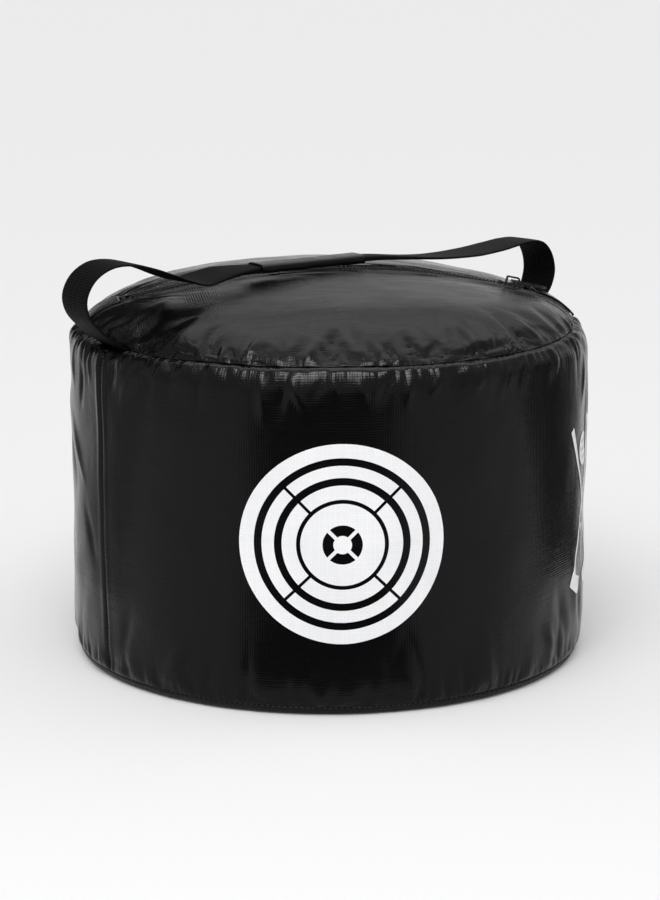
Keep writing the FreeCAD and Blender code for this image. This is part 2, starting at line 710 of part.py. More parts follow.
def club():
    """One upright golf club about the emblem's middle: grip, shaft and an iron's head."""
    top = EMBLEM_HEIGHT / 2
    neck = -top + HEAD_DEPTH
    half_grip = CLUB_GRIP_WIDTH / 2
    half_shaft = SHAFT / 2
    half_end = half_shaft * 1.2  # the grip's lower end
    grip_low = top - CLUB_GRIP_LENGTH
    heel = SHAFT * 1.2
    toe_top = HEAD_LENGTH * 0.9
    toe_low = neck - HEAD_DEPTH * 0.6
    sole_end = HEAD_LENGTH * 0.6
    grip = [(-half_grip, top), (half_grip, top), (half_end, grip_low), (-half_end, grip_low)]
    shaft = [(-half_shaft, grip_low), (half_shaft, grip_low), (half_shaft, neck), (-half_shaft, neck)]
    head = [
        (-half_shaft, neck + SHAFT),
        (half_shaft, neck + SHAFT),
        (heel, neck - SHAFT / 2),
        (toe_top, neck + SHAFT / 2),
        (HEAD_LENGTH, toe_low),
        (sole_end, -top),
        (0, -top + SHAFT / 2),
        (-half_shaft, neck - SHAFT),
    ]
    return stencil(grip).fuse(stencil(shaft)).fuse(stencil(head))


def golf_ball(height):
    """A ball with a ring of bare dimples and one in the middle."""
    ball = rod(BALL_R, 0, height).cut(rod(DIMPLE_R, 0, height))
    ring = BALL_R * 0.55
    for n in range(DIMPLES):
        a = math.radians(360 / DIMPLES * n)
        ball = ball.cut(rod(DIMPLE_R, ring * math.cos(a), height + ring * math.sin(a)))
    return ball


def tee(height):
    """A tee peg whose cup is at this height."""
    half = TEE_WIDTH / 2
    neck = height - half
    half_peg = half * 0.3
    point = height - TEE_LENGTH
    return stencil([(-half, height), (half, height), (half_peg, neck), (0, point), (-half_peg, neck)])


def club_print():
    """Two crossed clubs with a ball above and a tee below, on the right-hand side."""
    clubs = []
    for side in (1, -1):
        one = club()
        if side < 0:
            one = one.mirror(V(0, 0, 0), V(1, 0, 0))
        one.rotate(V(0, 0, 0), V(0, 1, 0), side * EMBLEM_LEAN)
        clubs.append(one)
    middle = EMBLEM_HEIGHT / 4
    shape = clubs[0].fuse(clubs[1]).fuse(golf_ball(middle + BALL_R / 2)).fuse(tee(-middle / 2))
    shape.translate(V(0, 0, EMBLEM_Z))
    return Part.makeCompound(ink_layer().common(turned(shape, EMBLEM_AZIMUTH)).Solids)


def stuffing():
    """Bundles of rags that fill the bag, clear of the seams, the zip and the handle's tails."""
    core = inner_volume(SKIN + SEAT_GAP)
    seam_half = BIND_HALF + SEAT_GAP
    for ring in (rim_ring, base_ring):
        core = core.cut(ring(-FILL_SLACK, BIND_REACH + FILL_SLACK, -seam_half, seam_half))
    for end in (-1, 1):
        core = core.cut(side_allowance(end, -seam_half, seam_half, BIND_REACH + SEAT_GAP, -FILL_SLACK))
        room = WEB_THICK + 2 * (PLY_GAP + BAR_THICK + SEAT_GAP)
        core = core.cut(tail_plate(end, room, WEB_WIDTH + 2 * FILL_SLACK, TAIL + FILL_SLACK, ROOT_RUN))
    under_tapes = skin(dome_outline, 0, SKIN + PLY_GAP + TAPE + SEAT_GAP)
    core = core.cut(under_tapes.common(band(TAPE_REACH + SEAT_GAP, ZIP_YAW)))
    under_chain = skin(dome_outline, 0, SEAT_GAP - SLIDER_LOW)
    core = core.cut(under_chain.common(band(SLIDER_HALF + SEAT_GAP, ZIP_YAW)))
    edges = [-BIG] + FILL_SPLITS + [BIG]
    layers = []
    for n in range(len(edges) - 1):
        low = edges[n] + SEAT_GAP / 2
        high = edges[n + 1] - SEAT_GAP / 2
        layers.append(core.common(block((-BIG, -BIG, low), (BIG, BIG, high))))
    return layers


def all_parts():
    """Every sub-part under its name."""
    layers = stuffing()
    return {
        "side_panel_front": side_panel(-1),
        "side_panel_rear": side_panel(1),
        "top_panel_front": top_panel(-1),
        "top_panel_rear": top_panel(1),
        "bottom_panel": bottom_panel(),
        "rim_seam_binding": rim_binding(),
        "base_seam_binding": binding(base_ring),
        "side_seam_tape_left": side_seam_tape(-1),
        "side_seam_tape_right": side_seam_tape(1),
        "zip_tape_front": zip_tape(-1),
        "zip_tape_rear": zip_tape(1),
        "zip_teeth_front": zip_teeth(-1),
        "zip_teeth_rear": zip_teeth(1),
        "zip_top_stops": top_stops(),
        "zip_bottom_stop": bottom_stop(),
        "zip_end_tab_left": end_tab(-1),
        "zip_end_tab_right": end_tab(1),
        "zip_slider": on_zip(slider_body(), SLIDER_AT),
        "zip_pull": on_zip(pull_tab(), SLIDER_AT),
        "handle_loop_left": handle_loop(-1, LEFT_NEAR_RIM, LEFT_NEAR_GRIP),
        "handle_loop_right": handle_loop(1, RIGHT_NEAR_RIM, RIGHT_NEAR_GRIP),
        "handle_middle": handle_middle(),
        "handle_grip_sleeve": grip_sleeve(),
        "handle_stitching": handle_stitching(),
        "target_print": target_print(),
        "club_print": club_print(),
        "filling_lower": layers[0],
        "filling_middle": layers[1],
        "filling_upper": layers[2],
    }


def main():
    os.makedirs("parts", exist_ok=True)
    for name, shape in all_parts().items():
        box = shape.BoundBox
        print(
            f"{name}: solids {len(shape.Solids)}, valid {shape.isValid()}, volume {shape.Volume:.1f} mm3, "
            f"x {box.XMin:.1f} to {box.XMax:.1f}, y {box.YMin:.1f} to {box.YMax:.1f}, "
            f"z {box.ZMin:.1f} to {box.ZMax:.1f}"
        )
        shape.exportStep(f"parts/{name}.step")


main()
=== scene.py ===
# %% [markdown]
# # A stuffed hitting bag, sewn from coated cloth
#
# The real bag is a round drum of black woven tarpaulin. A wall of two panels is sewn to a domed top and
# to a heavier base. A zip crosses the top, and one long strap of webbing makes the handle. This lesson
# dresses the measured model of the bag: it keeps the hard zip parts and models all the cloth anew.

import math

import bmesh
import bpy
from mathutils import Matrix, Vector, noise
from mathutils.bvhtree import BVHTree


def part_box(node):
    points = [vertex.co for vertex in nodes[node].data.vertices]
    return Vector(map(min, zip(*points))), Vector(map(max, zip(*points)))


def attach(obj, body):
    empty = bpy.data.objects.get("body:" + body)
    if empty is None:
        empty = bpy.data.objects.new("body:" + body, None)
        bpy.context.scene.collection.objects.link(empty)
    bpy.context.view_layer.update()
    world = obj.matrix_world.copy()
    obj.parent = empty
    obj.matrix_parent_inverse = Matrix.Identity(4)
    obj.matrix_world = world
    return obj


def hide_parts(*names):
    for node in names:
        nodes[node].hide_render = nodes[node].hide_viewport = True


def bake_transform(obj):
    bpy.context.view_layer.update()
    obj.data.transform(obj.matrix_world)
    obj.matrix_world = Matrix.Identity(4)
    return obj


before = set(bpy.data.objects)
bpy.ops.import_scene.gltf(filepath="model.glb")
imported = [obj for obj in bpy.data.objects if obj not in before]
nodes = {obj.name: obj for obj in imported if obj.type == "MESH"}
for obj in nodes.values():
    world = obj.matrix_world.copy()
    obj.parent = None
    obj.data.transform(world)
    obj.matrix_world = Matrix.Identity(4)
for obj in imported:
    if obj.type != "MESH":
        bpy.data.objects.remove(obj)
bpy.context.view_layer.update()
print("nodes in the frame:", len(nodes))

# %% [markdown]
# ## Sizes
#
# All lengths are metres, +Z is up and the printed target faces -Y. An azimuth is an angle in degrees from
# -Y towards +X, seen from above. These are the same driving sizes as in the measured model.

# %% Sizes of the stuffed shape
WALL_R = 0.200
RIM_R = 0.191
RIM_Z = 0.2575
SHOULDER_Z = 0.238
BASE_SEAM_R = 0.197
BASE_SEAM_Z = 0.006
HEEL_Z = 0.032
DOME_R = 0.640
DOME_CENTRE_Z = -0.343
DOME_EDGE_R = 0.162
SKIN = 0.0008
BASE_SKIN = 0.0012
PLY_GAP = 0.00005
RIM_FOLD = math.radians(35)
BASE_FOLD = math.radians(15)
LEFT_SEAM = -60.0
RIGHT_SEAM = 120.0
ZIP_AZIMUTH = 95.0
ZIP_TURN = math.radians(ZIP_AZIMUTH - 90.0)
TO_ZIP = Matrix.Rotation(ZIP_TURN, 4, "Z")
ZIP_GAP = 0.0075
WEB_WIDTH = 0.038
WEB_THICK = 0.0022


def at(azimuth, radius, z):
    """A point from its azimuth, its distance from the axis and its height."""
    a = math.radians(azimuth)
    return Vector((radius * math.sin(a), -radius * math.cos(a), z))


def azimuth_of(p):
    return math.degrees(math.atan2(p.x, -p.y))


def off_axis(p):
    """Distance of a point from the bag's axis."""
    return math.hypot(p.x, p.y)


def turn_from(start, azimuth):
    """Degrees from one azimuth to another, from -90 to 270."""
    return (azimuth - start + 90.0) % 360.0 - 90.0


def smooth(t):
    """A soft step from 0 to 1."""
    t = min(max(t, 0.0), 1.0)
    return t * t * (3.0 - 2.0 * t)


def bell(t):
    """A soft hump, 1 in the middle and nearly 0 from 2 outwards."""
    return math.exp(-(t**2))


# %% [markdown]
# ## Outlines
#
# The wall is upright with a rounded shoulder above and a rounded heel below. The top is one wide arc
# whose edge puffs up before it dives into the rim seam. Each outline is a few arcs, so a formula gives it
# and no long list of points is needed.


# %% Outlines of the wall and the top
def wall_outline():
    """Points (radius, height) up the wall, from the base seam to the rim seam."""
    shoulder_in, shoulder_up = WALL_R - RIM_R, RIM_Z - SHOULDER_Z
    heel_in, heel_up = WALL_R - BASE_SEAM_R, HEEL_Z - BASE_SEAM_Z
    shoulder_arc = (shoulder_in**2 + shoulder_up**2) / (2 * shoulder_in)
    heel_arc = (heel_in**2 + heel_up**2) / (2 * heel_in)
    heel_angle = math.asin(heel_up / heel_arc)
    shoulder_angle = math.asin(shoulder_up / shoulder_arc)
    heel_steps, wall_steps, shoulder_steps = 8, 34, 12
    points = []
    for n in range(heel_steps):
        a = -heel_angle * (1 - n / heel_steps)
        points.append((WALL_R - heel_arc + heel_arc * math.cos(a), HEEL_Z + heel_arc * math.sin(a)))
    for n in range(wall_steps):
        points.append((WALL_R, HEEL_Z + (SHOULDER_Z - HEEL_Z) * n / wall_steps))
    for n in range(shoulder_steps + 1):
        a = shoulder_angle * n / shoulder_steps
        points.append((WALL_R - shoulder_arc * (1 - math.cos(a)), SHOULDER_Z + shoulder_arc * math.sin(a)))
    return points


def puffed_edge():
    """Centre and radius of the arc that takes the top from its wide arc down to the rim seam."""
    height = math.sqrt(DOME_R**2 - DOME_EDGE_R**2)
    meet = Vector((DOME_EDGE_R, DOME_CENTRE_Z + height))
    normal = Vector((DOME_EDGE_R / DOME_R, height / DOME_R))
    away = meet - Vector((RIM_R, RIM_Z))
    radius = away.length_squared / (2 * away.dot(normal))
    return meet - radius * normal, radius


EDGE_CENTRE, EDGE_R = puffed_edge()


def dome_height(r):
    """Height of the top's outside at a distance from the axis."""
    if r <= DOME_EDGE_R:
        return DOME_CENTRE_Z + math.sqrt(DOME_R**2 - r**2)
    return EDGE_CENTRE.y + math.sqrt(max(EDGE_R**2 - (r - EDGE_CENTRE.x) ** 2, 0.0))


def dome_tilt(r):
    """How steeply the top falls at a distance from the axis, in radians."""
    if r <= DOME_EDGE_R:
        return math.asin(r / DOME_R)
    return math.asin(min((r - EDGE_CENTRE.x) / EDGE_R, 1.0))


def dome_run(r):
    """Length of cloth from the axis out to a distance, along the arcs."""
    if r <= DOME_EDGE_R:
        return DOME_R * dome_tilt(r)
    first = math.asin((DOME_EDGE_R - EDGE_CENTRE.x) / EDGE_R)
    return dome_run(DOME_EDGE_R) + EDGE_R * (dome_tilt(r) - first)


WALL_ROWS = wall_outline()
print(f"wall outline {len(WALL_ROWS)} points, cloth across the top {2000 * dome_run(RIM_R):.0f} mm")

# %% [markdown]
# ## The rim seam
#
# Wall and top meet in one sewn line. A hand-fed seam is never a perfect circle, so its line wanders by
# about a millimetre, and the thread draws it into a wide valley with a narrow groove in the middle. Both
# panels ask the same function for it, and so they always meet. Where the webbing passes through, the two
# lips open by its thickness.

# %% The sewn line of the rim
SEAM_WANDER = 0.0014
SEAM_PULL = 0.022
VALLEY = 0.0006
VALLEY_REACH = 0.012
GROOVE = 0.0019
GROOVE_REACH = 0.0042
LIP = WEB_THICK / 2 + 0.00015
LIP_HALF = WEB_WIDTH / 2 + 0.001
LIP_EASE = 0.006


def wander(azimuth, salt):
    """A slow, seeded wave round the bag, from -1 to 1."""
    a = math.radians(azimuth)
    return noise.noise(Vector((3.4 * math.cos(a), 3.4 * math.sin(a), salt)))


def from_side_seam(azimuth):
    """The angle to the nearer side seam, in radians."""
    return math.radians(min(abs(turn_from(LEFT_SEAM, azimuth)), abs(turn_from(RIGHT_SEAM, azimuth))))


def lip_open(azimuth):
    """How far the seam opens for the webbing, from 0 to 1."""
    return 1.0 - smooth((from_side_seam(azimuth) * RIM_R - LIP_HALF) / LIP_EASE)


def rim_shift(azimuth, side):
    """How far the sewn line is from its plain circle. Side is -1 for the wall's lip and 1 for the top's."""
    calm = 1.0 - lip_open(azimuth)
    gap = PLY_GAP + (LIP - PLY_GAP) * (1.0 - calm)
    out = SEAM_WANDER * 0.5 * calm * wander(azimuth, 3.1) - side * gap * math.sin(RIM_FOLD)
    up = SEAM_WANDER * calm * wander(azimuth, 8.4) + side * gap * math.cos(RIM_FOLD)
    return at(azimuth, out, up)


def into_rim(p):
    """The way that the seam's edges fold into the bag."""
    return at(azimuth_of(p), -math.cos(RIM_FOLD), -math.sin(RIM_FOLD))


def follow_rim(bm, side):
    """Moves the rim's ring onto the sewn line, and what is near it with it."""
    for v in bm.verts:
        azimuth = azimuth_of(v.co)
        away = math.hypot(off_axis(v.co) - RIM_R, v.co.z - RIM_Z)
        v.co += (1.0 - smooth(away / SEAM_PULL)) * rim_shift(azimuth, side)
        groove = GROOVE * (1.0 + 0.6 * wander(azimuth, 5.7)) * (1.0 - smooth(away / GROOVE_REACH))
        v.co += (VALLEY * (1.0 - smooth(away / VALLEY_REACH)) + groove) * into_rim(v.co)


# %% [markdown]
# ## Wall cloth
#
# The wall is a tall tube that the rags press out tightly, so its form is nearly the plain outline. A
# cloth simulation moved it by less than a millimetre. So the outline is spun into a tube, and its bulges,
# gathers and creases are sculpted by formula further down.

# %% Spin the wall
COLUMNS = 400


def spun(points, start, steps):
    """Spins an outline of radius and height round the axis, from an azimuth on, into even quads."""
    bm = bmesh.new()
    spots = [bm.verts.new(at(start, r, z)) for r, z in points]
    lines = [bm.edges.new(pair) for pair in zip(spots, spots[1:])]
    bmesh.ops.spin(bm, geom=spots + lines, cent=(0, 0, 0), axis=(0, 0, 1), angle=math.tau,
                   steps=steps, use_merge=True)
    bmesh.ops.remove_doubles(bm, verts=bm.verts, dist=0.00001)
    bmesh.ops.recalc_face_normals(bm, faces=bm.faces)
    return bm


def new_object(name, bm):
    """Turns a bmesh into an object at the origin, with smooth faces."""
    mesh = bpy.data.meshes.new(name)
    bm.to_mesh(mesh)
    bm.free()
    mesh.shade_smooth()
    obj = bpy.data.objects.new(name, mesh)
    bpy.context.scene.collection.objects.link(obj)
    return obj


# The first column lies on the left-hand side seam.
bm = spun(WALL_ROWS, LEFT_SEAM, COLUMNS)
follow_rim(bm, -1)
wall_cloth = new_object("wall_cloth", bm)
print("wall:", len(wall_cloth.data.polygons), "quads")

# %% [markdown]
# ## Cloth of the top
#
# The top is two half discs, one each side of the zip. A spun disc would crowd its points at the middle,
# so each half is a plain grid instead. Its bottom row lies along the zip, and its other three sides bend
# round the rim. The flat cut is wider than the rim, so the extra cloth has to go somewhere. A second
# shape holds the flat cut, and a cloth simulation with pressure finds the soft folds above the seam by
# itself.

# %% Bend a grid into half a disc
GRID = (144, 66)
CROWDING = 0.5


def bent_grid(bm, segments, place):
    """Adds a grid and moves each point to the place that its two shares of the grid, from 0 to 1, give."""
    made = bmesh.ops.create_grid(bm, x_segments=segments[0], y_segments=segments[1], size=0.5)
    for v in made["verts"]:
        v.co = place(v.co.x + 0.5, v.co.y + 0.5)


def on_rim(angle):
    return Vector((RIM_R * math.cos(angle), RIM_R * math.sin(angle)))


def crowded(t):
    """Takes an even share of the grid to one with closer rows at both ends, where the seams are."""
    return t - CROWDING * math.sin(math.tau * t) / math.tau


def half_disc(u, v):
    """A flat point of the half disc beyond the zip, from two shares of the grid."""
    corner = math.asin(ZIP_GAP / RIM_R)
    bend = math.radians(45)
    low = on_rim(math.pi - corner).lerp(on_rim(corner), u)
    high = on_rim(math.pi - bend + (2 * bend - math.pi) * u)
    left = on_rim(math.pi - corner + (corner - bend) * v)
    right = on_rim(corner + (bend - corner) * v)
    chord = on_rim(math.pi - bend).lerp(on_rim(bend), u)
    return low.lerp(high, v) + left.lerp(right, u) - low.lerp(chord, v)


def dome_point(u, v, side):
    flat = half_disc(crowded(u), crowded(v)) * side
    return TO_ZIP @ Vector((flat.x, flat.y, dome_height(flat.length)))


def gridded_dome():
    """Both halves of the top in one mesh, with the zip's opening between them."""
    bm = bmesh.new()
    for side in (1, -1):
        bent_grid(bm, GRID, lambda u, v: dome_point(u, v, side))
    bmesh.ops.recalc_face_normals(bm, faces=bm.faces)
    for face in bm.faces:
        if face.normal.z < 0:
            face.normal_flip()
    return bm


def zip_offset(p):
    """Signed distance of a point from the zip's middle line, to the rear."""
    return p.y * math.cos(ZIP_TURN) - p.x * math.sin(ZIP_TURN)


# %% Let the stuffing press the top out
FRAMES = 28
RUFFLE = 0.0004
FOLD_REACH = 0.0045
CLOTH = dict(quality=6, mass=0.25, tension_stiffness=40, compression_stiffness=40, shear_stiffness=8,
             bending_stiffness=0.06, air_damping=2.0, use_pressure=True, uniform_pressure_force=6.0)


def ruffle(bm):
    """A hair of seeded unevenness, so that the folds don't form in step."""
    for v in bm.verts:
        if not v.is_boundary:
            v.co += v.co.normalized() * RUFFLE * noise.noise(v.co * 70.0 + Vector((9.0, 0, 0)))


def flat_cut(p):
    """Where a point of the top lies on the flat cut."""
    r = max(off_axis(p), 0.0001)
    return Vector((p.x * dome_run(r) / r, p.y * dome_run(r) / r, RIM_Z))


def press_out(obj):
    """Simulates the cloth towards its flat cut, with its edges held, and keeps each point within reach."""
    start = [v.co.copy() for v in obj.data.vertices]
    obj.shape_key_add(name="as sewn")
    cut = obj.shape_key_add(name="as cut")
    for v in obj.data.vertices:
        cut.data[v.index].co = flat_cut(v.co)
    bm = bmesh.new()
    bm.from_mesh(obj.data)
    sewn = [v.index for v in bm.verts if v.is_boundary]
    bm.free()
    obj.vertex_groups.new(name="sewn").add(sewn, 1.0, "REPLACE")
    cloth = obj.modifiers.new("cloth", "CLOTH")
    cloth.point_cache.frame_start = 1
    cloth.point_cache.frame_end = FRAMES
    cloth.collision_settings.use_collision = False
    for key, value in CLOTH.items():
        setattr(cloth.settings, key, value)
    cloth.settings.rest_shape_key = cut
    cloth.settings.vertex_group_mass = "sewn"
    cloth.settings.effector_weights.gravity = 0.0
    for n in range(1, FRAMES + 1):
        bpy.context.scene.frame_set(n)
    settled = obj.evaluated_get(bpy.context.evaluated_depsgraph_get())
    moves = [v.co - first for v, first in zip(settled.data.vertices, start)]
    obj.modifiers.clear()
    obj.shape_key_clear()
    obj.vertex_groups.clear()
    for v, first, move in zip(obj.data.vertices, start, moves):
        v.co = first + move * min(1.0, FOLD_REACH / max(move.length, 0.000001))
    bpy.context.scene.frame_set(1)
    print(f"{obj.name}: the cloth moved by up to {1000 * max(m.length for m in moves):.1f} mm")


bm = gridded_dome()
ruffle(bm)
follow_rim(bm, 1)
dome_cloth = new_object("dome_cloth", bm)
press_out(dome_cloth)
print("top:", len(dome_cloth.data.polygons), "quads")

# %% [markdown]
# ## Panels
#
# Each panel is cut from this cloth. Its edges turn in at the seams, as sewn cloth does, which gives the
# dark groove that a seam shows. Beside the zip the edge is folded under and stitched down. Then one level
# of subdivision rounds everything.


# %% Turn the edges in
TURN_STEPS = (0.0012, 0.0055)
HEM_RISE = 0.0009
HEM_DROP = 0.00165
HEM_WIDTH = 0.0065
HEM_RAISED = 0.006
HEM_EASE = 0.003
RIM_BAND = 0.004
TOP_BAND = 0.003
BASE_BAND = 0.0015


def open_edges(bm, test):
    return [e for e in bm.edges if e.is_boundary and all(test(v.co) for v in e.verts)]


def turn_in(bm, edges, direction, lengths):
    """Carries a row of open edges on into the bag, in steps."""
    for length in lengths:
        made = bmesh.ops.extrude_edge_only(bm, edges=edges)["geom"]
        edges = [g for g in made if isinstance(g, bmesh.types.BMEdge)]
        for v in {v for e in edges for v in e.verts}:
            v.co += direction(v.co) * length
    return edges


def into_base(p):
    return at(azimuth_of(p), -math.cos(BASE_FOLD), math.sin(BASE_FOLD))


def towards_axis(p):
    return at(azimuth_of(p), -1.0, 0.0)


def subdivided(obj):
    """Applies one level of subdivision."""
    modifier = obj.modifiers.new("rounding", "SUBSURF")
    modifier.levels = 1
    modifier.render_levels = 1
    mesh = bpy.data.meshes.new_from_object(obj.evaluated_get(bpy.context.evaluated_depsgraph_get()))
    obj.modifiers.clear()
    obj.data = mesh
    return obj


def cut_out(source, keep):
    """A copy of the faces whose middle passes the test."""
    bm = bmesh.new()
    bm.from_mesh(source.data)
    unwanted = [f for f in bm.faces if not keep(f.calc_center_median())]
    bmesh.ops.delete(bm, geom=unwanted, context="FACES")
    return bm


def wall_panel(name, start):
    """One wall panel, from the side seam at this azimuth to the next one."""
    bm = cut_out(wall_cloth, lambda p: 0 < turn_from(start, azimuth_of(p)) < 180)
    rim = open_edges(bm, lambda p: p.z > RIM_Z - RIM_BAND)
    base = open_edges(bm, lambda p: p.z < BASE_SEAM_Z + BASE_BAND)
    sides = [e for e in bm.edges if e.is_boundary and e not in rim and e not in base]
    turn_in(bm, sides, towards_axis, TURN_STEPS)
    turn_in(bm, rim, into_rim, TURN_STEPS)
    turn_in(bm, base, into_base, TURN_STEPS)
    return subdivided(new_object(name, bm))


def top_panel(name, side):
    """One half of the top, from the zip to the rim seam."""
    bm = cut_out(dome_cloth, lambda p: zip_offset(p) * side > 0)
    for v in bm.verts:
        v.co.z += HEM_RISE * (1.0 - smooth((abs(zip_offset(v.co)) - ZIP_GAP - HEM_RAISED) / HEM_EASE))
    rim = open_edges(bm, lambda p: off_axis(p) > RIM_R - TOP_BAND)
    hem = [e for e in bm.edges if e.is_boundary and e not in rim]
    back = Vector((-math.sin(ZIP_TURN), math.cos(ZIP_TURN), 0)) * side
    turn_in(bm, rim, into_rim, TURN_STEPS)
    folded = turn_in(bm, hem, lambda p: Vector((0, 0, -1)), (HEM_DROP,))
    turn_in(bm, folded, lambda p: back, (HEM_WIDTH,))
    return subdivided(new_object(name, bm))


side_front = wall_panel("wall_front", LEFT_SEAM)
side_rear = wall_panel("wall_rear", RIGHT_SEAM)
top_front = top_panel("top_front", -1)
top_rear = top_panel("top_rear", 1)
for cloth in (wall_cloth, dome_cloth):
    bpy.data.objects.remove(cloth)
print("front wall panel:", len(side_front.data.polygons), "quads")

# %% [markdown]
# ## Bottom panel
#
# The base is one heavier disc, turned up over a short rounded edge to meet the wall. It is flat where the
# bag stands, so its outline is spun and only its rounded edge gets the small gathers of the seam.


# %% Spin the base
BASE_COLUMNS = 240
BASE_RINGS = 26
BASE_EDGE_STEPS = 7
BASE_GATHER = 0.0005


def base_panel():
    """The flat base with its rounded edge."""
    flat_r = BASE_SEAM_R - BASE_SEAM_Z
    points = [(flat_r * n / BASE_RINGS, 0.0) for n in range(BASE_RINGS)]
    for n in range(BASE_EDGE_STEPS + 1):
        a = math.radians(-90 + 90 * n / BASE_EDGE_STEPS)
        points.append((flat_r + BASE_SEAM_Z * math.cos(a), BASE_SEAM_Z + BASE_SEAM_Z * math.sin(a) - PLY_GAP))
    bm = spun(points, 0.0, BASE_COLUMNS)
    for v in bm.verts:
        rise = smooth((off_axis(v.co) - flat_r) / BASE_SEAM_Z) * (1 - smooth((v.co.z - 0.0035) / 0.0022))
        gathered = 1 + noise.noise(Vector((v.co.x, v.co.y, 0)) * 60.0)
        v.co += towards_axis(v.co) * BASE_GATHER * rise * gathered
    turn_in(bm, open_edges(bm, lambda p: True), into_base, TURN_STEPS)
    return new_object("base_cloth", bm)


base_cloth = base_panel()

# %% [markdown]
# ## Gathers and creases
#
# The tight puckers that a needle leaves are too fine for a simulation, so seeded noise adds them along
# each seam. Gathered cloth does this in steps: narrow puckers at the thread join into wider ones further
# away, and each kind fades out at its own distance. The large creases of this one bag are placed one by one,
# as a sculptor would: each is a short line on the cloth, with a lean, a width and a depth.

# %% Puckers beside the seams
# For each kind of pucker: metres to a wave, height, and the distance at which it has faded.
PUCKERS = [(0.0072, 0.0012, 0.0056), (0.0125, 0.0017, 0.0115), (0.0250, 0.0022, 0.0230)]


def folds(azimuth, away, pitch, salt):
    """Pillows round the bag, from 0 in a pinch to 1, which bend a little on their way from the seam."""
    a = math.radians(azimuth)
    spot = Vector((math.sin(a), math.cos(a), 0)) * (RIM_R / pitch)
    wave = noise.noise(spot + Vector((0, 0, salt + away / (5 * pitch))))
    return min(abs(wave) * 2.3, 1.0) ** 0.7


def gather(azimuth, away, strengths, salt):
    """How far the cloth stands out beside a seam, with a strength for each kind of pucker."""
    a = math.radians(azimuth)
    out = 0.0
    for n, ((pitch, height, reach), strength) in enumerate(zip(PUCKERS, strengths)):
        mood = 1.0 + 1.3 * noise.noise(Vector((math.sin(a), math.cos(a), salt + n)) * (5.0 + 2.0 * n))
        rise = smooth(away / (0.5 * reach))
        fade = bell(away / (reach * max(mood, 0.3)))
        form = folds(azimuth, away, pitch, salt + 3.0 * n) - 0.42
        out += strength * height * max(mood, 0.0) * rise * fade * form
    return out


# %% Creases placed one by one
def in_metres(creases):
    """Takes a table of creases from millimetres to metres."""
    return [(place, middle / 1000, lean, length / 1000, half_width / 1000, deep / 1000)
            for place, middle, lean, length, half_width, deep in creases]


# Azimuth, height, lean from upright in degrees, length, half width and depth. Lengths are in millimetres.
# A negative depth is a ridge.
WALL_CREASES = in_metres([
    (-76, 172, -40, 85, 4, -2), (-82, 156, -36, 70, 5.5, 1.8), (-67, 108, -26, 60, 5, 1.6),
    (-71, 225, 6, 55, 3.8, 2.2), (-78, 232, -4, 45, 3.6, -1.8), (-85, 205, 8, 60, 4.5, 1.8),
    (-66, 238, -10, 30, 3, -1.2), (-55, 238, 16, 32, 3.6, 1.5), (-50, 232, 26, 40, 4.2, -1.3),
    (-41, 243, 30, 26, 3.4, -1.2), (-90, 250, 88, 110, 8, -3), (-92, 216, 85, 110, 13, 2),
    (92, 155, 0, 110, 45, -3.2), (94, 70, 4, 90, 40, -2.6), (-16.5, 235, -4, 44, 3.6, -2),
    (-12.5, 236, 6, 40, 3, 1.4), (-9, 237, -26, 44, 3.6, -2.2), (-5, 243, 22, 26, 3, 1.5),
    (-1.5, 244, -12, 26, 3, -1.6), (4, 241, -20, 28, 3, -1.3), (9, 242, 26, 36, 3.6, 1.8),
    (14, 240, 12, 30, 3, -1.5), (20, 243, 30, 26, 3, -1.3), (25, 243, -8, 26, 3, 1.3),
    (30, 242, 34, 28, 3.2, -1.4), (37, 240, 24, 40, 3.4, -1.4), (43, 242, 30, 34, 3.4, 1.3),
    (54, 240, 20, 36, 3.6, -1.4), (60, 48, -30, 60, 6, 1.8), (67, 62, -18, 80, 5.5, -1.7),
    (73, 45, -10, 50, 4.5, 1.8), (54, 34, -36, 40, 4.5, -1.2), (78, 200, 6, 100, 4.2, 2),
    (84, 195, 2, 85, 4, -1.6), (72, 222, 14, 55, 4, -1.2), (-28, 30, 24, 40, 5, 1),
    (-36, 40, 32, 50, 5.5, -1.1), (-52, 45, 20, 60, 5.5, 1.2), (150, 215, 12, 60, 5, 1.8),
    (168, 228, -18, 45, 4.5, -1.4), (-165, 210, -14, 70, 5.5, 1.8), (-142, 232, 22, 40, 4, -1.5),
    (-128, 60, 18, 60, 5.5, 1.6), (-108, 226, -12, 50, 4.2, 1.7), (104, 55, -20, 60, 5.5, 1.6),
    (112, 230, 10, 45, 4, -1.5), (176, 50, 26, 55, 5.5, 1.4),
])
# The same for the top, with the distance from the rim seam in place of the height.
TOP_CREASES = in_metres([
    (-56, 43, -64, 170, 13, -2.7), (33, 6.8, 86, 85, 3.6, 2.6), (36, 14, 82, 70, 4.5, -1.2),
    (21, 12, 40, 36, 3.4, 1.6), (48, 12, 20, 32, 3.4, 1.7), (54, 15, -14, 34, 3.4, -1.5),
    (11, 11, -24, 30, 3, 1.6), (5, 12, 10, 30, 3, -1.4), (-2, 11, -20, 26, 3, 1.5),
    (-7, 13, 16, 34, 3, -1.6), (-13, 12, -8, 30, 2.8, 1.3), (-21, 13, 12, 34, 3, -1.2),
    (-29, 12, -10, 32, 3, 1.2), (84, 18, 12, 50, 4.5, 1.6), (138, 16, -16, 46, 4, 1.6),
    (165, 18, 20, 46, 4.5, -1.4), (-150, 16, -12, 50, 4, 1.6), (-112, 17, 18, 44, 4, -1.4),
])


# %% Sculpt the cloth
SIDE_SEAM_REACH = 0.014
SIDE_GROOVE = 0.0007
SIDE_RIDGE = 0.0007
STITCH_DIMPLE = 0.0003
STITCH_PITCH = 0.0031
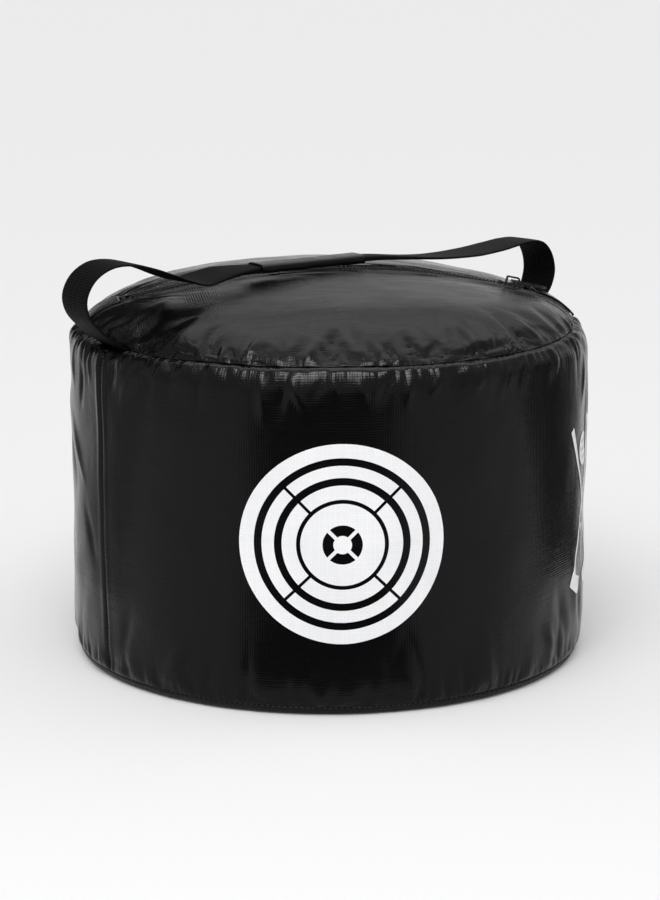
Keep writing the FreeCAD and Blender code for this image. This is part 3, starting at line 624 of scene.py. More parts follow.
# Height of the lumps and how many fit in a metre.
WALL_LUMPS = ((0.0018, 12.0), (0.0007, 31.0))
TOP_LUMPS = ((0.0013, 15.0), (0.0005, 37.0))
HEM_EDGE = ZIP_GAP + 0.007


def crease_depth(creases, azimuth, height):
    """How far in the creases draw the cloth at one place."""
    depth = 0.0
    for place, middle, lean, length, half_width, deep in creases:
        round_bag = math.radians((azimuth - place + 180.0) % 360.0 - 180.0) * WALL_R
        if abs(round_bag) > length:
            continue
        a = math.radians(lean)
        across = round_bag * math.cos(a) - (height - middle) * math.sin(a)
        along = round_bag * math.sin(a) + (height - middle) * math.cos(a)
        ends = 1.0 - smooth(abs(along) / (length / 2))
        depth += deep * ends * bell(across / half_width)
    return depth


def side_seam_depth(azimuth, z):
    """The groove of a side seam, with a ridge each side and a dimple at each stitch."""
    away = from_side_seam(azimuth) * WALL_R
    if away > SIDE_SEAM_REACH:
        return 0.0
    groove = SIDE_GROOVE * bell(away / 0.0016)
    ridge = SIDE_RIDGE * bell((away - 0.0045) / 0.0026) * (0.6 + smooth((z - 0.16) / 0.06))
    pucker = STITCH_DIMPLE * math.sin(math.tau * z / STITCH_PITCH) * bell(away / 0.003)
    return groove - ridge + pucker


def out_of_wall(azimuth, z):
    """The way out of the plain wall at a height."""
    tilt = math.radians(48) * smooth((z - SHOULDER_Z) / (RIM_Z - SHOULDER_Z))
    return at(azimuth, math.cos(tilt), math.sin(tilt))


def out_of_top(azimuth, r):
    """The way out of the plain top at a distance from the axis."""
    return at(azimuth, math.sin(dome_tilt(r)), math.cos(dome_tilt(r)))


def lumps(p, kinds):
    return sum(height * noise.noise(p * scale) for height, scale in kinds)


def sculpt_wall(obj):
    """Adds gathers, creases and lumps to a wall panel, but not to its turned-in edges."""
    for v in obj.data.vertices:
        r = off_axis(v.co)
        azimuth = azimuth_of(v.co)
        if r < BASE_SEAM_R - 0.004 and v.co.z < 0.02 or r < RIM_R - 0.0015:
            continue
        from_rim = math.hypot(r - RIM_R, v.co.z - RIM_Z)
        from_base = math.hypot(r - BASE_SEAM_R, v.co.z - BASE_SEAM_Z)
        creased = crease_depth(WALL_CREASES, azimuth, v.co.z) + side_seam_depth(azimuth, v.co.z)
        out = smooth(from_base / 0.010) * smooth(from_rim / 0.008) * (lumps(v.co, WALL_LUMPS) - creased)
        out += gather(azimuth, from_rim, (1.0, 1.0, 0.9), 1.7)
        out += gather(azimuth, from_base, (0.8, 1.0, 1.1), 6.3)
        v.co += out_of_wall(azimuth, v.co.z) * out


def sculpt_top(obj):
    """Adds gathers, creases and lumps to half of the top."""
    for v in obj.data.vertices:
        r = off_axis(v.co)
        from_hem = abs(zip_offset(v.co)) - HEM_EDGE
        if v.co.z < dome_height(min(r, RIM_R)) - 0.004 or from_hem < 0:
            continue
        from_rim = math.hypot(r - RIM_R, v.co.z - RIM_Z)
        azimuth = azimuth_of(v.co)
        out = smooth(from_rim / 0.010) * smooth(from_hem / 0.02) * lumps(v.co, TOP_LUMPS)
        out -= crease_depth(TOP_CREASES, azimuth, from_rim) * smooth(from_rim / 0.004)
        out += gather(azimuth, from_rim, (1.0, 0.6, 0.15), 2.9)
        v.co += out_of_top(azimuth, r) * out


def soften(bm, verts, times=1):
    """Evens these points out, as cloth does where it is pulled tight."""
    for round_of_smoothing in range(times):
        bmesh.ops.smooth_vert(bm, verts=verts, factor=0.5, use_axis_x=True, use_axis_y=True, use_axis_z=True)


def relax(panel, first, last):
    """Softens the small folds of the top's outside between two azimuths."""
    bm = bmesh.new()
    bm.from_mesh(panel.data)
    tight = []
    for v in bm.verts:
        r = off_axis(v.co)
        if RIM_R - 0.080 < r < RIM_R - 0.009 and first < azimuth_of(v.co) < last:
            if v.co.z > dome_height(r) - 0.005 and abs(zip_offset(v.co)) > 0.017:
                tight.append(v)
    soften(bm, tight, 8)
    bm.to_mesh(panel.data)
    bm.free()


for panel in (side_front, side_rear):
    sculpt_wall(panel)
relax(top_front, 46.0, 88.0)
for panel in (top_front, top_rear):
    sculpt_top(panel)


# %% Texture coordinates in metres
def lay_uvs(obj, place):
    """Writes a UV map from a function of each point, in metres along the cloth."""
    layer = obj.data.uv_layers.new(name="cloth")
    spots = [place(v.co) for v in obj.data.vertices]
    for loop in obj.data.loops:
        layer.data[loop.index].uv = spots[loop.vertex_index]


def wall_uv(start):
    return lambda p: (math.radians(turn_from(start, azimuth_of(p))) * WALL_R, p.z)


def top_uv(p):
    r = max(off_axis(p), 0.0001)
    run = dome_run(min(r, RIM_R)) / r
    return (run * (p.x * math.cos(ZIP_TURN) + p.y * math.sin(ZIP_TURN)), run * zip_offset(p))


lay_uvs(side_front, wall_uv(LEFT_SEAM))
lay_uvs(side_rear, wall_uv(RIGHT_SEAM))
lay_uvs(top_front, top_uv)
lay_uvs(top_rear, top_uv)
lay_uvs(base_cloth, lambda p: (p.x, p.y))


# %% Give the cloth its thickness
def thicken(obj, thickness):
    """Adds the cloth's thickness on the inside."""
    modifier = obj.modifiers.new("thickness", "SOLIDIFY")
    modifier.thickness = thickness
    modifier.offset = -1.0
    modifier.use_even_offset = False


for panel in (side_front, side_rear, top_front, top_rear):
    thicken(panel, SKIN)
thicken(base_cloth, BASE_SKIN)

# %% [markdown]
# ## Prints
#
# Ink lies on the cloth and follows every pucker of it. The measured model has the outlines of the prints
# on a perfect cylinder, so a copy of each print is diced into small pieces and every point is dropped
# onto the real wall by a ray.


# %% Drop the prints onto the wall
def tree_of(*panels):
    """The surface of some panels, ready for rays."""
    bm = bmesh.new()
    for panel in panels:
        bm.from_mesh(panel.data)
    tree = BVHTree.FromBMesh(bm)
    bm.free()
    return tree


WALL_TREE = tree_of(side_front, side_rear)
TOP_TREE = tree_of(top_front, top_rear)
INK_RISE = 0.00018
DICE = 0.0025
PRINT_REACH = 0.09


def wall_radius(azimuth, z):
    """Distance of the real wall from the axis."""
    start = at(azimuth, WALL_R + 0.02, z)
    hit = WALL_TREE.ray_cast(start, at(azimuth, -1.0, 0.0))[0]
    return off_axis(hit) if hit else WALL_R


def printed(node, name, middle):
    """A diced copy of a print, laid on the real wall round its middle azimuth."""
    bm = bmesh.new()
    bm.from_mesh(nodes[node].data)
    bmesh.ops.remove_doubles(bm, verts=bm.verts, dist=0.00001)
    low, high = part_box(node)
    along = at(middle + 90.0, 1.0, 0.0)
    for axis, first, last in ((along, -PRINT_REACH, PRINT_REACH), (Vector((0, 0, 1)), low.z, high.z)):
        for n in range(int((last - first) / DICE)):
            geom = bm.verts[:] + bm.edges[:] + bm.faces[:]
            bmesh.ops.bisect_plane(bm, geom=geom, plane_co=axis * (first + n * DICE), plane_no=axis)
    for v in bm.verts:
        azimuth = azimuth_of(v.co)
        proud = off_axis(v.co) - WALL_R
        v.co = at(azimuth, wall_radius(azimuth, v.co.z) + proud + INK_RISE, v.co.z)
    obj = new_object(name, bm)
    obj.data.shade_flat()
    lay_uvs(obj, wall_uv(LEFT_SEAM))
    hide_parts(node)
    return obj


target_ink = printed("target_print", "target_ink", 0.0)
emblem_ink = printed("club_print", "emblem_ink", 73.0)
print("target:", len(target_ink.data.polygons), "faces")

# %% [markdown]
# ## Webbing
#
# The handle is one strap of ribbed webbing. Its path is a smooth curve through a few listed stations,
# and each station also says how the strap rolls and how far it is folded. A closed section of the strap
# is then carried along the curve. The section has thick selvedges and a shallow crown, which flat strips
# lack.

# %% Stations of the handle
FOLDED_WIDTH = 0.019
FOLDED_THICK = 0.0046
GRIP_LEFT = 0.066
GRIP_RIGHT = 0.027
GRIP_Z = 0.3032
ROOT_RUN = 0.006
TAIL = 0.017
GRIP_GAP = 0.0003
# Millimetres out from the rim seam and up from it, roll in degrees, and openness, from 0 folded to 1 flat.
LEFT_NEAR_RIM = [
    (14, 10, 0, 1), (26.5, 23.5, 0, 1), (29.5, 37.5, 0, 1), (22.5, 51, 0, 1), (8.5, 59.2, 0, 1),
    (-9, 59.8, -1, 1), (-29, 54.1, -3, 1),
]
# The same, out from the grip's end and up from its middle.
LEFT_NEAR_GRIP = [
    (78.7, 1.6, -4, 1), (63.7, -3.6, -3, 0.95), (48.7, -4.3, 8, 0.78), (31.7, -1.2, 11, 0.42),
    (15.7, -0.1, 6, 0.14),
]
RIGHT_NEAR_RIM = [
    (10, 11, -2, 1), (12.5, 23.5, -4, 1), (9, 37, -4, 1), (0.5, 46, -3, 1), (-14, 46.9, -2, 1),
    (-36, 43.7, 0, 1),
]
RIGHT_NEAR_GRIP = [
    (102.7, -4.6, 0, 0.95), (72.7, -5, -2, 0.75), (44.7, -3.2, -4, 0.4), (17.7, -0.8, -3, 0.12),
]
TO_SEAMS = Matrix.Rotation(math.radians(RIGHT_SEAM - 90.0), 4, "Z")


def stations(end, near_rim, near_grip):
    """Place, roll and openness along one loop, from the tail inside the seam to the grip."""
    fold = Vector((end * math.cos(RIM_FOLD), 0, math.sin(RIM_FOLD)))
    root = Vector((end * RIM_R, 0, RIM_Z))
    found = [(root - fold * TAIL, 0.0, 1.0), (root, 0.0, 1.0), (root + fold * ROOT_RUN, 0.0, 1.0)]
    for out, up, roll, openness in near_rim:
        found.append((root + Vector((end * out / 1000, 0, up / 1000)), roll, openness))
    grip_end = (GRIP_LEFT if end < 0 else GRIP_RIGHT) + GRIP_GAP
    for out, up, roll, openness in near_grip:
        found.append((Vector((end * (grip_end + out / 1000), 0, GRIP_Z + up / 1000)), roll, openness))
    found.append((Vector((end * grip_end, 0, GRIP_Z)), 0.0, 0.0))
    return found


# %% A smooth way through the stations
def catmull(values, k, t):
    """A smooth value between two stations, from them and their neighbours."""
    a, b = values[max(k - 1, 0)], values[k]
    c, d = values[k + 1], values[min(k + 2, len(values) - 1)]
    square, cube = (2 * a - 5 * b + 4 * c - d) * t**2, (3 * b - a - 3 * c + d) * t**3
    return 0.5 * (2 * b + (c - a) * t + square + cube)


def along_stations(found, step):
    """Many even places along the loop, with roll and openness."""
    places = [station[0] for station in found]
    line = []
    for k, (here, ahead) in enumerate(zip(found, found[1:])):
        count = max(2, round((ahead[0] - here[0]).length / step))
        for n in range(count):
            t = n / count
            roll, openness = (here[i] + t * (ahead[i] - here[i]) for i in (1, 2))
            line.append((catmull(places, k, t), roll, openness))
    return line + [found[-1]]


SECTION = 40
STRAP_STEP = 0.0016
# Powers below 1 square the section off: the flats stay flat, and the selvedges stay round.
SQUARE_ACROSS = 0.55
SQUARE_UP = 0.38


def strap_section(width, thick):
    """The outline of the strap: a flat band with rounded selvedges."""
    outline = []
    for n in range(SECTION):
        a = math.tau * n / SECTION
        across = math.copysign(abs(math.cos(a)) ** SQUARE_ACROSS, math.cos(a))
        up = math.copysign(abs(math.sin(a)) ** SQUARE_UP, math.sin(a))
        outline.append((across * width / 2, up * thick / 2))
    return outline


def strap_rings(line, section_at):
    """One ring of points for each place. The strap's flat side stays square to the path."""
    rings = []
    for k, (place, roll, shape) in enumerate(line):
        ahead = (line[min(k + 1, len(line) - 1)][0] - line[max(k - 1, 0)][0]).normalized()
        level = Vector((0, 1, 0))
        across = (level - ahead * ahead.dot(level)).normalized()
        normal = ahead.cross(across)
        a = math.radians(roll)
        wide = across * math.cos(a) + normal * math.sin(a)
        thin = normal * math.cos(a) - across * math.sin(a)
        rings.append([place + wide * x + thin * y for x, y in section_at(shape)])
    return rings


def carried(name, line, section_at, capped=True):
    """Bends a grid into a strap: one way it follows the line, the other way it closes into the section."""
    rings = strap_rings(line, section_at)
    steps = [(b[0] - a[0]).length for a, b in zip(line, line[1:])]
    runs = [sum(steps[:k]) for k in range(len(line))]
    last = len(line) - 1
    bm = bmesh.new()
    bmesh.ops.create_grid(bm, x_segments=last, y_segments=SECTION, size=0.5)
    uv = bm.loops.layers.uv.new("cloth")
    for face in bm.faces:
        for loop in face.loops:
            u, v = loop.vert.co.x + 0.5, loop.vert.co.y + 0.5
            loop[uv].uv = (v * 2 * WEB_WIDTH, runs[round(u * last)])
    for v in bm.verts:
        k, n = round((v.co.x + 0.5) * last), round((v.co.y + 0.5) * SECTION)
        v.co = rings[k][n % SECTION]
    bmesh.ops.remove_doubles(bm, verts=bm.verts, dist=0.000001)
    if capped:
        bmesh.ops.holes_fill(bm, edges=[e for e in bm.edges if e.is_boundary], sides=0)
    bmesh.ops.recalc_face_normals(bm, faces=bm.faces)
    obj = new_object(name, bm)
    obj.data.transform(TO_SEAMS)
    return obj


def strap_loop(name, end, near_rim, near_grip):
    found = [(p, roll * -end, openness) for p, roll, openness in stations(end, near_rim, near_grip)]
    line = along_stations(found, STRAP_STEP)

    def section_at(openness):
        width = FOLDED_WIDTH + openness * (WEB_WIDTH - FOLDED_WIDTH)
        thick = WEB_THICK + (1 - openness) ** 2 * (FOLDED_THICK - WEB_THICK)
        return strap_section(width, thick)

    obj = carried(name, line, section_at)
    start = at(LEFT_SEAM if end < 0 else RIGHT_SEAM, RIM_R, RIM_Z)
    grip_end = TO_SEAMS @ found[-1][0]
    return obj, start, grip_end


left_loop, left_start, left_end = strap_loop("strap_left", -1, LEFT_NEAR_RIM, LEFT_NEAR_GRIP)
right_loop, right_start, right_end = strap_loop("strap_right", 1, RIGHT_NEAR_RIM, RIGHT_NEAR_GRIP)

# %% [markdown]
# ## Grip
#
# At the middle the strap is folded lengthwise, and a sleeve of the bag's own cloth is sewn round it. The
# fold shows only at the sleeve's two mouths. The sleeve is soft, so it is a little waisted and lumpy.


# %% The folded middle and its sleeve
GRIP_STEPS = 48
SLEEVE_WIDTH = 0.0216
SLEEVE_THICK = 0.0072
SLEEVE_SKIN = 0.0010


def grip_line():
    """Even places along the grip, from its left-hand end to its right-hand one."""
    shares = [n / GRIP_STEPS for n in range(GRIP_STEPS + 1)]
    return [(Vector(((GRIP_LEFT + GRIP_RIGHT) * t - GRIP_LEFT, 0, GRIP_Z)), 0.0, t) for t in shares]


def folded_section(share):
    """Two plies of webbing, joined at the fold and open along the other edge."""
    outline = []
    for x, y in strap_section(FOLDED_WIDTH, FOLDED_THICK):
        slit = 0.0007 * smooth((x + 0.004) / 0.013) * (1 - min(abs(y) / 0.0008, 1.0))
        outline.append((x - slit, y))
    return outline


def sleeve_section(share):
    """The sleeve's outline: soft, a little waisted, and lumpy where the fold inside lies."""
    waist = 1.0 - 0.04 * math.sin(math.pi * share)
    outline = []
    for x, y in strap_section(SLEEVE_WIDTH, SLEEVE_THICK):
        lump = 1.0 + 0.05 * noise.noise(Vector((x * 90, y * 90, share * 9)))
        outline.append((x * waist * lump, y * waist * lump))
    return outline


folded_middle = carried("folded_strap", grip_line(), folded_section)
sleeve = carried("grip_sleeve_cloth", grip_line(), sleeve_section, capped=False)
thicken(sleeve, SLEEVE_SKIN)

# %% [markdown]
# ## Zip tapes and end tabs
#
# The tapes lie under the edges of the top, and the teeth grip their bare edges. Each zip end is covered
# by a doubled tab of cloth, sewn into the rim seam. All of them follow the top's outline, so flat grids
# are bent onto it.

# %% Strips that follow the top
TAPE_EDGE = 0.0024
TAPE_REACH = 0.018
TAPE_HALF_LENGTH = RIM_R - 0.008
TAB_WIDTH = 0.024
TAB_THICK = 0.0016
TAB_START = 0.1616
TAB_END = RIM_R - 0.0004


def strip(name, along, across, depth, thick, segments):
    """A strip of cloth along the zip, this far below the top's outside, with its thickness downwards."""
    def place(u, v):
        x = along[0] + u * (along[1] - along[0])
        y = across[0] + v * (across[1] - across[0])
        r = min(math.hypot(x, y), RIM_R)
        slope = (dome_height(r) - dome_height(max(r - 0.001, 0.0))) / 0.001
        tilt = math.sqrt(1 + slope**2)
        out = depth * slope / tilt / max(r, 0.001)
        return Vector((x + x * out, y + y * out, dome_height(r) - depth / tilt))

    bm = bmesh.new()
    bent_grid(bm, segments, place)
    obj = new_object(name, bm)
    lay_uvs(obj, lambda p: (p.x, p.y))
    obj.data.transform(TO_ZIP)
    thicken(obj, thick)
    return obj


tapes = {}
for side, label in ((-1, "front"), (1, "rear")):
    across = sorted((side * TAPE_EDGE, side * TAPE_REACH))
    tape = strip(f"zip_tape_cloth_{label}", (-TAPE_HALF_LENGTH, TAPE_HALF_LENGTH), across,
                 SKIN + PLY_GAP, SKIN, (190, 8))
    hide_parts(f"zip_tape_{label}")
    tapes[label] = tape
tabs = {}
for side, label in ((-1, "left"), (1, "right")):
    along = sorted((side * TAB_START, side * TAB_END))
    tab = strip(f"zip_end_cloth_{label}", along, (-TAB_WIDTH / 2, TAB_WIDTH / 2),
                -PLY_GAP - TAB_THICK, TAB_THICK, (24, 24))
    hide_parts(f"zip_end_tab_{label}")
    tabs[label] = tab

# %% [markdown]
# ## Stitches
#
# Thick black thread shows as rows of small beads. One bead is a squashed ball with few faces, and a loop
# lays hundreds of them along the side seams, the base seam and beside the zip.


# %% Rows of stitches
def stitches(name, places, length, thickness):
    """A bead of thread at each place. A place is a point, the way along the row and the way out."""
    bm = bmesh.new()
    for point, along, out in places:
        along = along.normalized()
        out = (out - along * out.dot(along)).normalized()
        turn = Matrix((along, out.cross(along), out)).transposed().to_4x4()
        size = Matrix.Diagonal((length / 2, thickness / 2, thickness / 2, 1))
        bmesh.ops.create_uvsphere(bm, u_segments=6, v_segments=4, radius=1.0,
                                  matrix=Matrix.Translation(point) @ turn @ size)
    obj = new_object(name, bm)
    return obj


SEAM_START = 0.014
SEAM_STOP = 0.016
THREAD_SINK = 0.0004


def side_seam_places(seam):
    places = []
    count = int((RIM_Z - BASE_SEAM_Z - SEAM_START - SEAM_STOP) / STITCH_PITCH)
    for n in range(count):
        z = BASE_SEAM_Z + SEAM_START + n * STITCH_PITCH
        r = wall_radius(seam + 0.25, z)
        places.append((at(seam, r - THREAD_SINK, z), Vector((0, 0, 1)), at(seam, 1, 0)))
    return places


seam_places = side_seam_places(LEFT_SEAM) + side_seam_places(RIGHT_SEAM)
seam_stitches = stitches("side_seam_stitches", seam_places, 0.0019, 0.0005)


def ring_places(radius, z, pitch):
    """Places all round the bag, along a sewn ring."""
    count = int(math.tau * radius / pitch)
    turns = [360.0 * n / count for n in range(count)]
    return [(at(t, radius, z), at(t + 90.0, 1, 0), at(t, 1, 0)) for t in turns]


BASE_STITCH_PITCH = 0.0042
base_places = ring_places(BASE_SEAM_R - THREAD_SINK, BASE_SEAM_Z, BASE_STITCH_PITCH)
base_stitches = stitches("base_seam_stitches", base_places, 0.0026, 0.0007)


def on_top(x, y):
    """A point and the way out on the real top, from a place in the zip's own directions."""
    p = TO_ZIP @ Vector((x, y, 0.4))
    hit, normal = TOP_TREE.ray_cast(p, Vector((0, 0, -1)))[:2]
    if hit:
        return hit, normal
    return TO_ZIP @ Vector((x, y, dome_height(math.hypot(x, y)))), Vector((0, 0, 1))


ZIP_ROW_END = TAB_START - 0.004
ZIP_ROW_OFFSET = ZIP_GAP + 0.0028
ZIP_ROW_PITCH = 0.0038


def zip_row_places():
    places = []
    for side in (-1, 1):
        for n in range(int(2 * ZIP_ROW_END / ZIP_ROW_PITCH)):
            point, out = on_top(n * ZIP_ROW_PITCH - ZIP_ROW_END, side * ZIP_ROW_OFFSET)
            places.append((point + out * 0.00005, TO_ZIP @ Vector((1, 0, 0)), out))
    return places


zip_stitches = stitches("zip_topstitching", zip_row_places(), 0.0028, 0.0006)
print("stitches:", (len(seam_stitches.data.polygons) + len(zip_stitches.data.polygons)) // 24)

# %% [markdown]
# ## Stuffing
#
# Rags fill the bag. Nobody sees them, but a bag without them would be a hollow shell, so three packed
# layers are modelled as lumpy bundles a little inside the cloth.

# %% Three layers of rags
FILL_INSET = 0.0075


def wall_limit(z):
    """Radius of the plain outline at a height."""
    for (r0, z0), (r1, z1) in zip(WALL_ROWS, WALL_ROWS[1:]):
        if z <= z1:
            return r0 + (r1 - r0) * max((z - z0) / (z1 - z0), 0.0)
    return RIM_R - 0.012


def rag_layer(name, low, high):
    """A lumpy, rounded puck between two heights."""
    bm = bmesh.new()
    bmesh.ops.create_cube(bm, size=2.0)
    bmesh.ops.subdivide_edges(bm, edges=bm.edges[:], cuts=25, use_grid_fill=True)
    middle, half = (low + high) / 2, (high - low) / 2
    for v in bm.verts:
        x, y, z = v.co
        flat = Vector((x * math.sqrt(1 - y * y / 2), y * math.sqrt(1 - x * x / 2)))
        height = middle + half * z
        edge = (wall_limit(height) - FILL_INSET) * (1.0 - 0.05 * abs(z) ** 6)
        lump = 0.004 * noise.noise(Vector((flat.x * 5, flat.y * 5, height * 26))) - 0.003
        flat *= edge + lump * smooth((flat.length - 0.7) / 0.3)
        top = min(height, dome_height(min(flat.length, RIM_R)) - FILL_INSET - 0.004)
        ripple = 0.002 * noise.noise(Vector((flat.x, flat.y, z)) * 22) * (1 - abs(z) * 0.4)
        v.co = Vector((flat.x, flat.y, top + ripple))
    soften(bm, bm.verts)
    bmesh.ops.recalc_face_normals(bm, faces=bm.faces)
    obj = new_object(name, bm)
    return obj


rag_layers = []
for label, low, high in (("lower", 0.0075, 0.0905), ("middle", 0.0935, 0.1825), ("upper", 0.1855, 0.289)):
    layer = rag_layer(f"rags_{label}", low, high)
    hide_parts(f"filling_{label}")
    rag_layers.append(layer)

# %% [markdown]
# ## Materials
#
# The main finish is a black coating over woven tape. The coating is thin, so the weave shows through it
# as crossing ridges two millimetres wide. Black, glossy things take nearly all their look from what they
# reflect: a low index of refraction keeps the front dark and still lets the edges shine.


# %% Small tools for node trees
class Nodes:
    """A node tree, with a short way to add and join nodes."""

    def __init__(self, tree):
        self.tree = tree

    def node(self, kind, inputs=(), **settings):
        made = self.tree.nodes.new(f"ShaderNode{kind}")
        for key, value in settings.items():
            setattr(made, key, value)
        for n, value in enumerate(inputs):
            self.give(made.inputs[n], value)
        return made

    def give(self, socket, value):
        """Sets a socket to a number or colour, or links another socket to it."""
        if isinstance(value, bpy.types.NodeSocket):
            self.tree.links.new(value, socket)
        elif value is not None:
            socket.default_value = value

    def math(self, operation, *values):
        return self.node("Math", values, operation=operation).outputs[0]

    def seen(self):
        """1 for the camera, for gloss and through clear things, and 0 for the light that this gives."""
        path = self.node("LightPath").outputs
        direct = self.math("ADD", path["Is Camera Ray"], path["Is Glossy Ray"])
        return self.math("MINIMUM", self.math("ADD", direct, path["Is Transmission Ray"]), 1.0)


class Finish(Nodes):
    """A material with a Principled shader."""

    def __init__(self, name):
        self.material = bpy.data.materials.new(name)
        self.material.use_nodes = True
        super().__init__(self.material.node_tree)
        self.shader = self.tree.nodes["Principled BSDF"]

    def uv(self):
        """The two directions along the cloth, in metres."""
        source = self.node("UVMap", uv_map="cloth").outputs[0]
        return self.node("SeparateXYZ", (source,)).outputs[:2]

    def noise(self, scale, detail=2.0, place=None, distortion=0.0):
        """Soft noise on the object's coordinates, or on another place."""
        made = self.node("TexNoise")
        if place is None:
            place = self.node("TexCoord").outputs["Object"]
        self.give(made.inputs["Vector"], place)
        for key, value in (("Scale", scale), ("Detail", detail), ("Distortion", distortion)):
            made.inputs[key].default_value = value
        return made.outputs[0]

    def bump(self, height, distance, strength=1.0, normal=None):
        made = self.node("Bump")
        made.inputs["Strength"].default_value = strength
        made.inputs["Distance"].default_value = distance
        self.give(made.inputs["Height"], height)
        if normal is not None:
            self.give(made.inputs["Normal"], normal)
        return made.outputs[0]

    def remap(self, value, low, high):
        """Takes 0 to 1 onto low to high."""
        return self.math("MULTIPLY_ADD", value, high - low, low)

    def colours(self, value, first, second):
        made = self.node("Mix", data_type="RGBA")
        self.give(made.inputs["Factor"], value)
        made.inputs[6].default_value = (*first, 1)
        made.inputs[7].default_value = (*second, 1)
        return made.outputs[2]

    def end(self, colour=None, roughness=None, normal=None, **sockets):
        for key, value in sockets.items():
            self.shader.inputs[key.replace("_", " ")].default_value = value
        for key, value in (("Base Color", colour), ("Roughness", roughness), ("Normal", normal)):
            if value is not None:
                self.give(self.shader.inputs[key], value)
        return self.material


TAPE_PITCH = 0.0019


def woven(finish):
    """Crossing tapes with a groove between each pair: a height from 0 to 1."""
    u, v = finish.uv()
    heights, counts = [], []
    for way, other in ((u, v), (v, u)):
        place = finish.math("DIVIDE", way, TAPE_PITCH)
        counts.append(finish.math("FLOOR", place))
        ridge = finish.math("SINE", finish.math("MULTIPLY", finish.math("FRACT", place), math.pi))
        length = finish.math("FLOOR", finish.math("DIVIDE", other, TAPE_PITCH * 14))
        single = finish.node("TexWhiteNoise", noise_dimensions="2D")
        pair = finish.node("CombineXYZ", (counts[-1], length))
        finish.give(single.inputs["Vector"], pair.outputs[0])
        tall = finish.math("MULTIPLY_ADD", single.outputs["Value"], 0.45, 0.55)
        heights.append(finish.math("MULTIPLY", finish.math("POWER", ridge, 0.6), tall))
    both = finish.math("MULTIPLY", finish.math("ADD", *heights), 0.5)
    squares = finish.math("PINGPONG", finish.math("ADD", *counts), 1.0)
    return finish.math("MULTIPLY_ADD", squares, 0.16, both)


# %% Coated cloth
FINE_PITCH = 0.0026
FINE_REACH = 0.020


def seam_puckers(finish):
    """Puckers too fine to model: they run upright, and they fade above and below each ring seam."""
    x, y, z = finish.node("SeparateXYZ", (finish.node("TexCoord").outputs["Object"],)).outputs
    squares = finish.math("ADD", finish.math("MULTIPLY", x, x), finish.math("MULTIPLY", y, y))
    radius = finish.math("SQRT", squares)
    scale = finish.math("DIVIDE", RIM_R / FINE_PITCH, finish.math("MAXIMUM", radius, 0.01))
    spot = [finish.math("MULTIPLY", way, size) for way, size in ((x, scale), (y, scale), (z, 40.0))]
    ridges = finish.noise(1.0, 1.0, finish.node("CombineXYZ", spot).outputs[0])
    aways = [finish.math("ABSOLUTE", finish.math("SUBTRACT", z, level)) for level in (BASE_SEAM_Z, RIM_Z)]
    aways.append(finish.math("SUBTRACT", RIM_R, radius))
    from_base, on_wall, on_top = [finish.math("DIVIDE", away, FINE_REACH) for away in aways]
    from_seam = finish.math("MINIMUM", from_base, finish.math("MAXIMUM", on_wall, on_top))
    near = finish.math("SUBTRACT", 1.0, finish.math("MINIMUM", from_seam, 1.0))
    return finish.math("MULTIPLY", ridges, near)


def coated_cloth(name, dark, light, rough, index):
    """Black coating over the weave, with crinkles too fine to model."""
    finish = Finish(name)
    u, v = finish.uv()
    stretched = [finish.math("MULTIPLY", way, size) for way, size in ((u, 38.0), (v, 150.0))]
    crinkle = finish.noise(1.0, 4.0, finish.node("CombineXYZ", stretched).outputs[0], 0.8)
    dents = finish.noise(60.0, 3.0)
    haze = finish.noise(8.0, 4.0)
    shaded = finish.colours(haze, dark, light)
    roughness = finish.remap(haze, rough - 0.05, rough + 0.07)
    normal = finish.bump(dents, 0.0012, 0.24)
    normal = finish.bump(crinkle, 0.0010, 0.2, normal)
    normal = finish.bump(seam_puckers(finish), 0.0011, 0.6, normal)
    normal = finish.bump(woven(finish), 0.00017, 0.8, normal)
    return finish.end(shaded, roughness, normal, IOR=index)


def dress(obj, material, body):
    """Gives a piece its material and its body."""
    obj.data.materials.clear()
    obj.data.materials.append(material)
    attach(obj, body)


wall_finish = coated_cloth("coated cloth", (0.0018, 0.0018, 0.0021), (0.0030, 0.0030, 0.0034), 0.15, 1.24)
base_finish = coated_cloth("base cloth", (0.0040, 0.0040, 0.0043), (0.0065, 0.0065, 0.0068), 0.40, 1.22)
for obj, node in ((side_front, "side_panel_front"), (side_rear, "side_panel_rear"),
                  (top_front, "top_panel_front"), (top_rear, "top_panel_rear")):
    dress(obj, wall_finish, "bag")
    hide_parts(node)
dress(base_cloth, base_finish, "bag")
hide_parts("bottom_panel")


# %% Webbing, tapes and thread
def ribbed(name, colour, pitch, rough):
    """Webbing with ribs along it and fine picks across it, their raised tops painted lighter as a painted
    highlight.
    """
    finish = Finish(name)
    u, v = finish.uv()
    ribs = finish.math("PINGPONG", finish.math("DIVIDE", u, pitch), 0.5)
    picks = finish.math("PINGPONG", finish.math("DIVIDE", v, pitch * 1.1), 0.5)
    height = finish.math("MULTIPLY", finish.math("ADD", ribs, 0.4), picks)
    fuzz = finish.noise(700.0, 2.0)
    # Painted highlight: the raised ribs and picks take a colour up to ten times lighter, speckled by fibre
    # noise.
    light = tuple(c * 10.0 for c in colour)
    painted_crest_highlight = finish.math("MULTIPLY", finish.math("MULTIPLY", height, 3.0), fuzz)
    shaded = finish.colours(painted_crest_highlight, colour, light)
    normal = finish.bump(height, 0.0010, 0.9)
    return finish.end(shaded, rough, normal, IOR=1.1)


webbing = ribbed("webbing", (0.0016, 0.0016, 0.0018), 0.0018, 0.5)
tape_finish = ribbed("woven tape", (0.0020, 0.0020, 0.0022), 0.0009, 0.6)


def plain(name, first, second, rough, index, scale, bump):
    """A finish that varies a little from place to place."""
    finish = Finish(name)
    spots = finish.noise(scale, 3.0)
    normal = finish.bump(spots, bump, 0.6)
    roughness = finish.remap(spots, rough - 0.06, rough + 0.06)
    return finish.end(finish.colours(spots, first, second), roughness, normal, IOR=index)


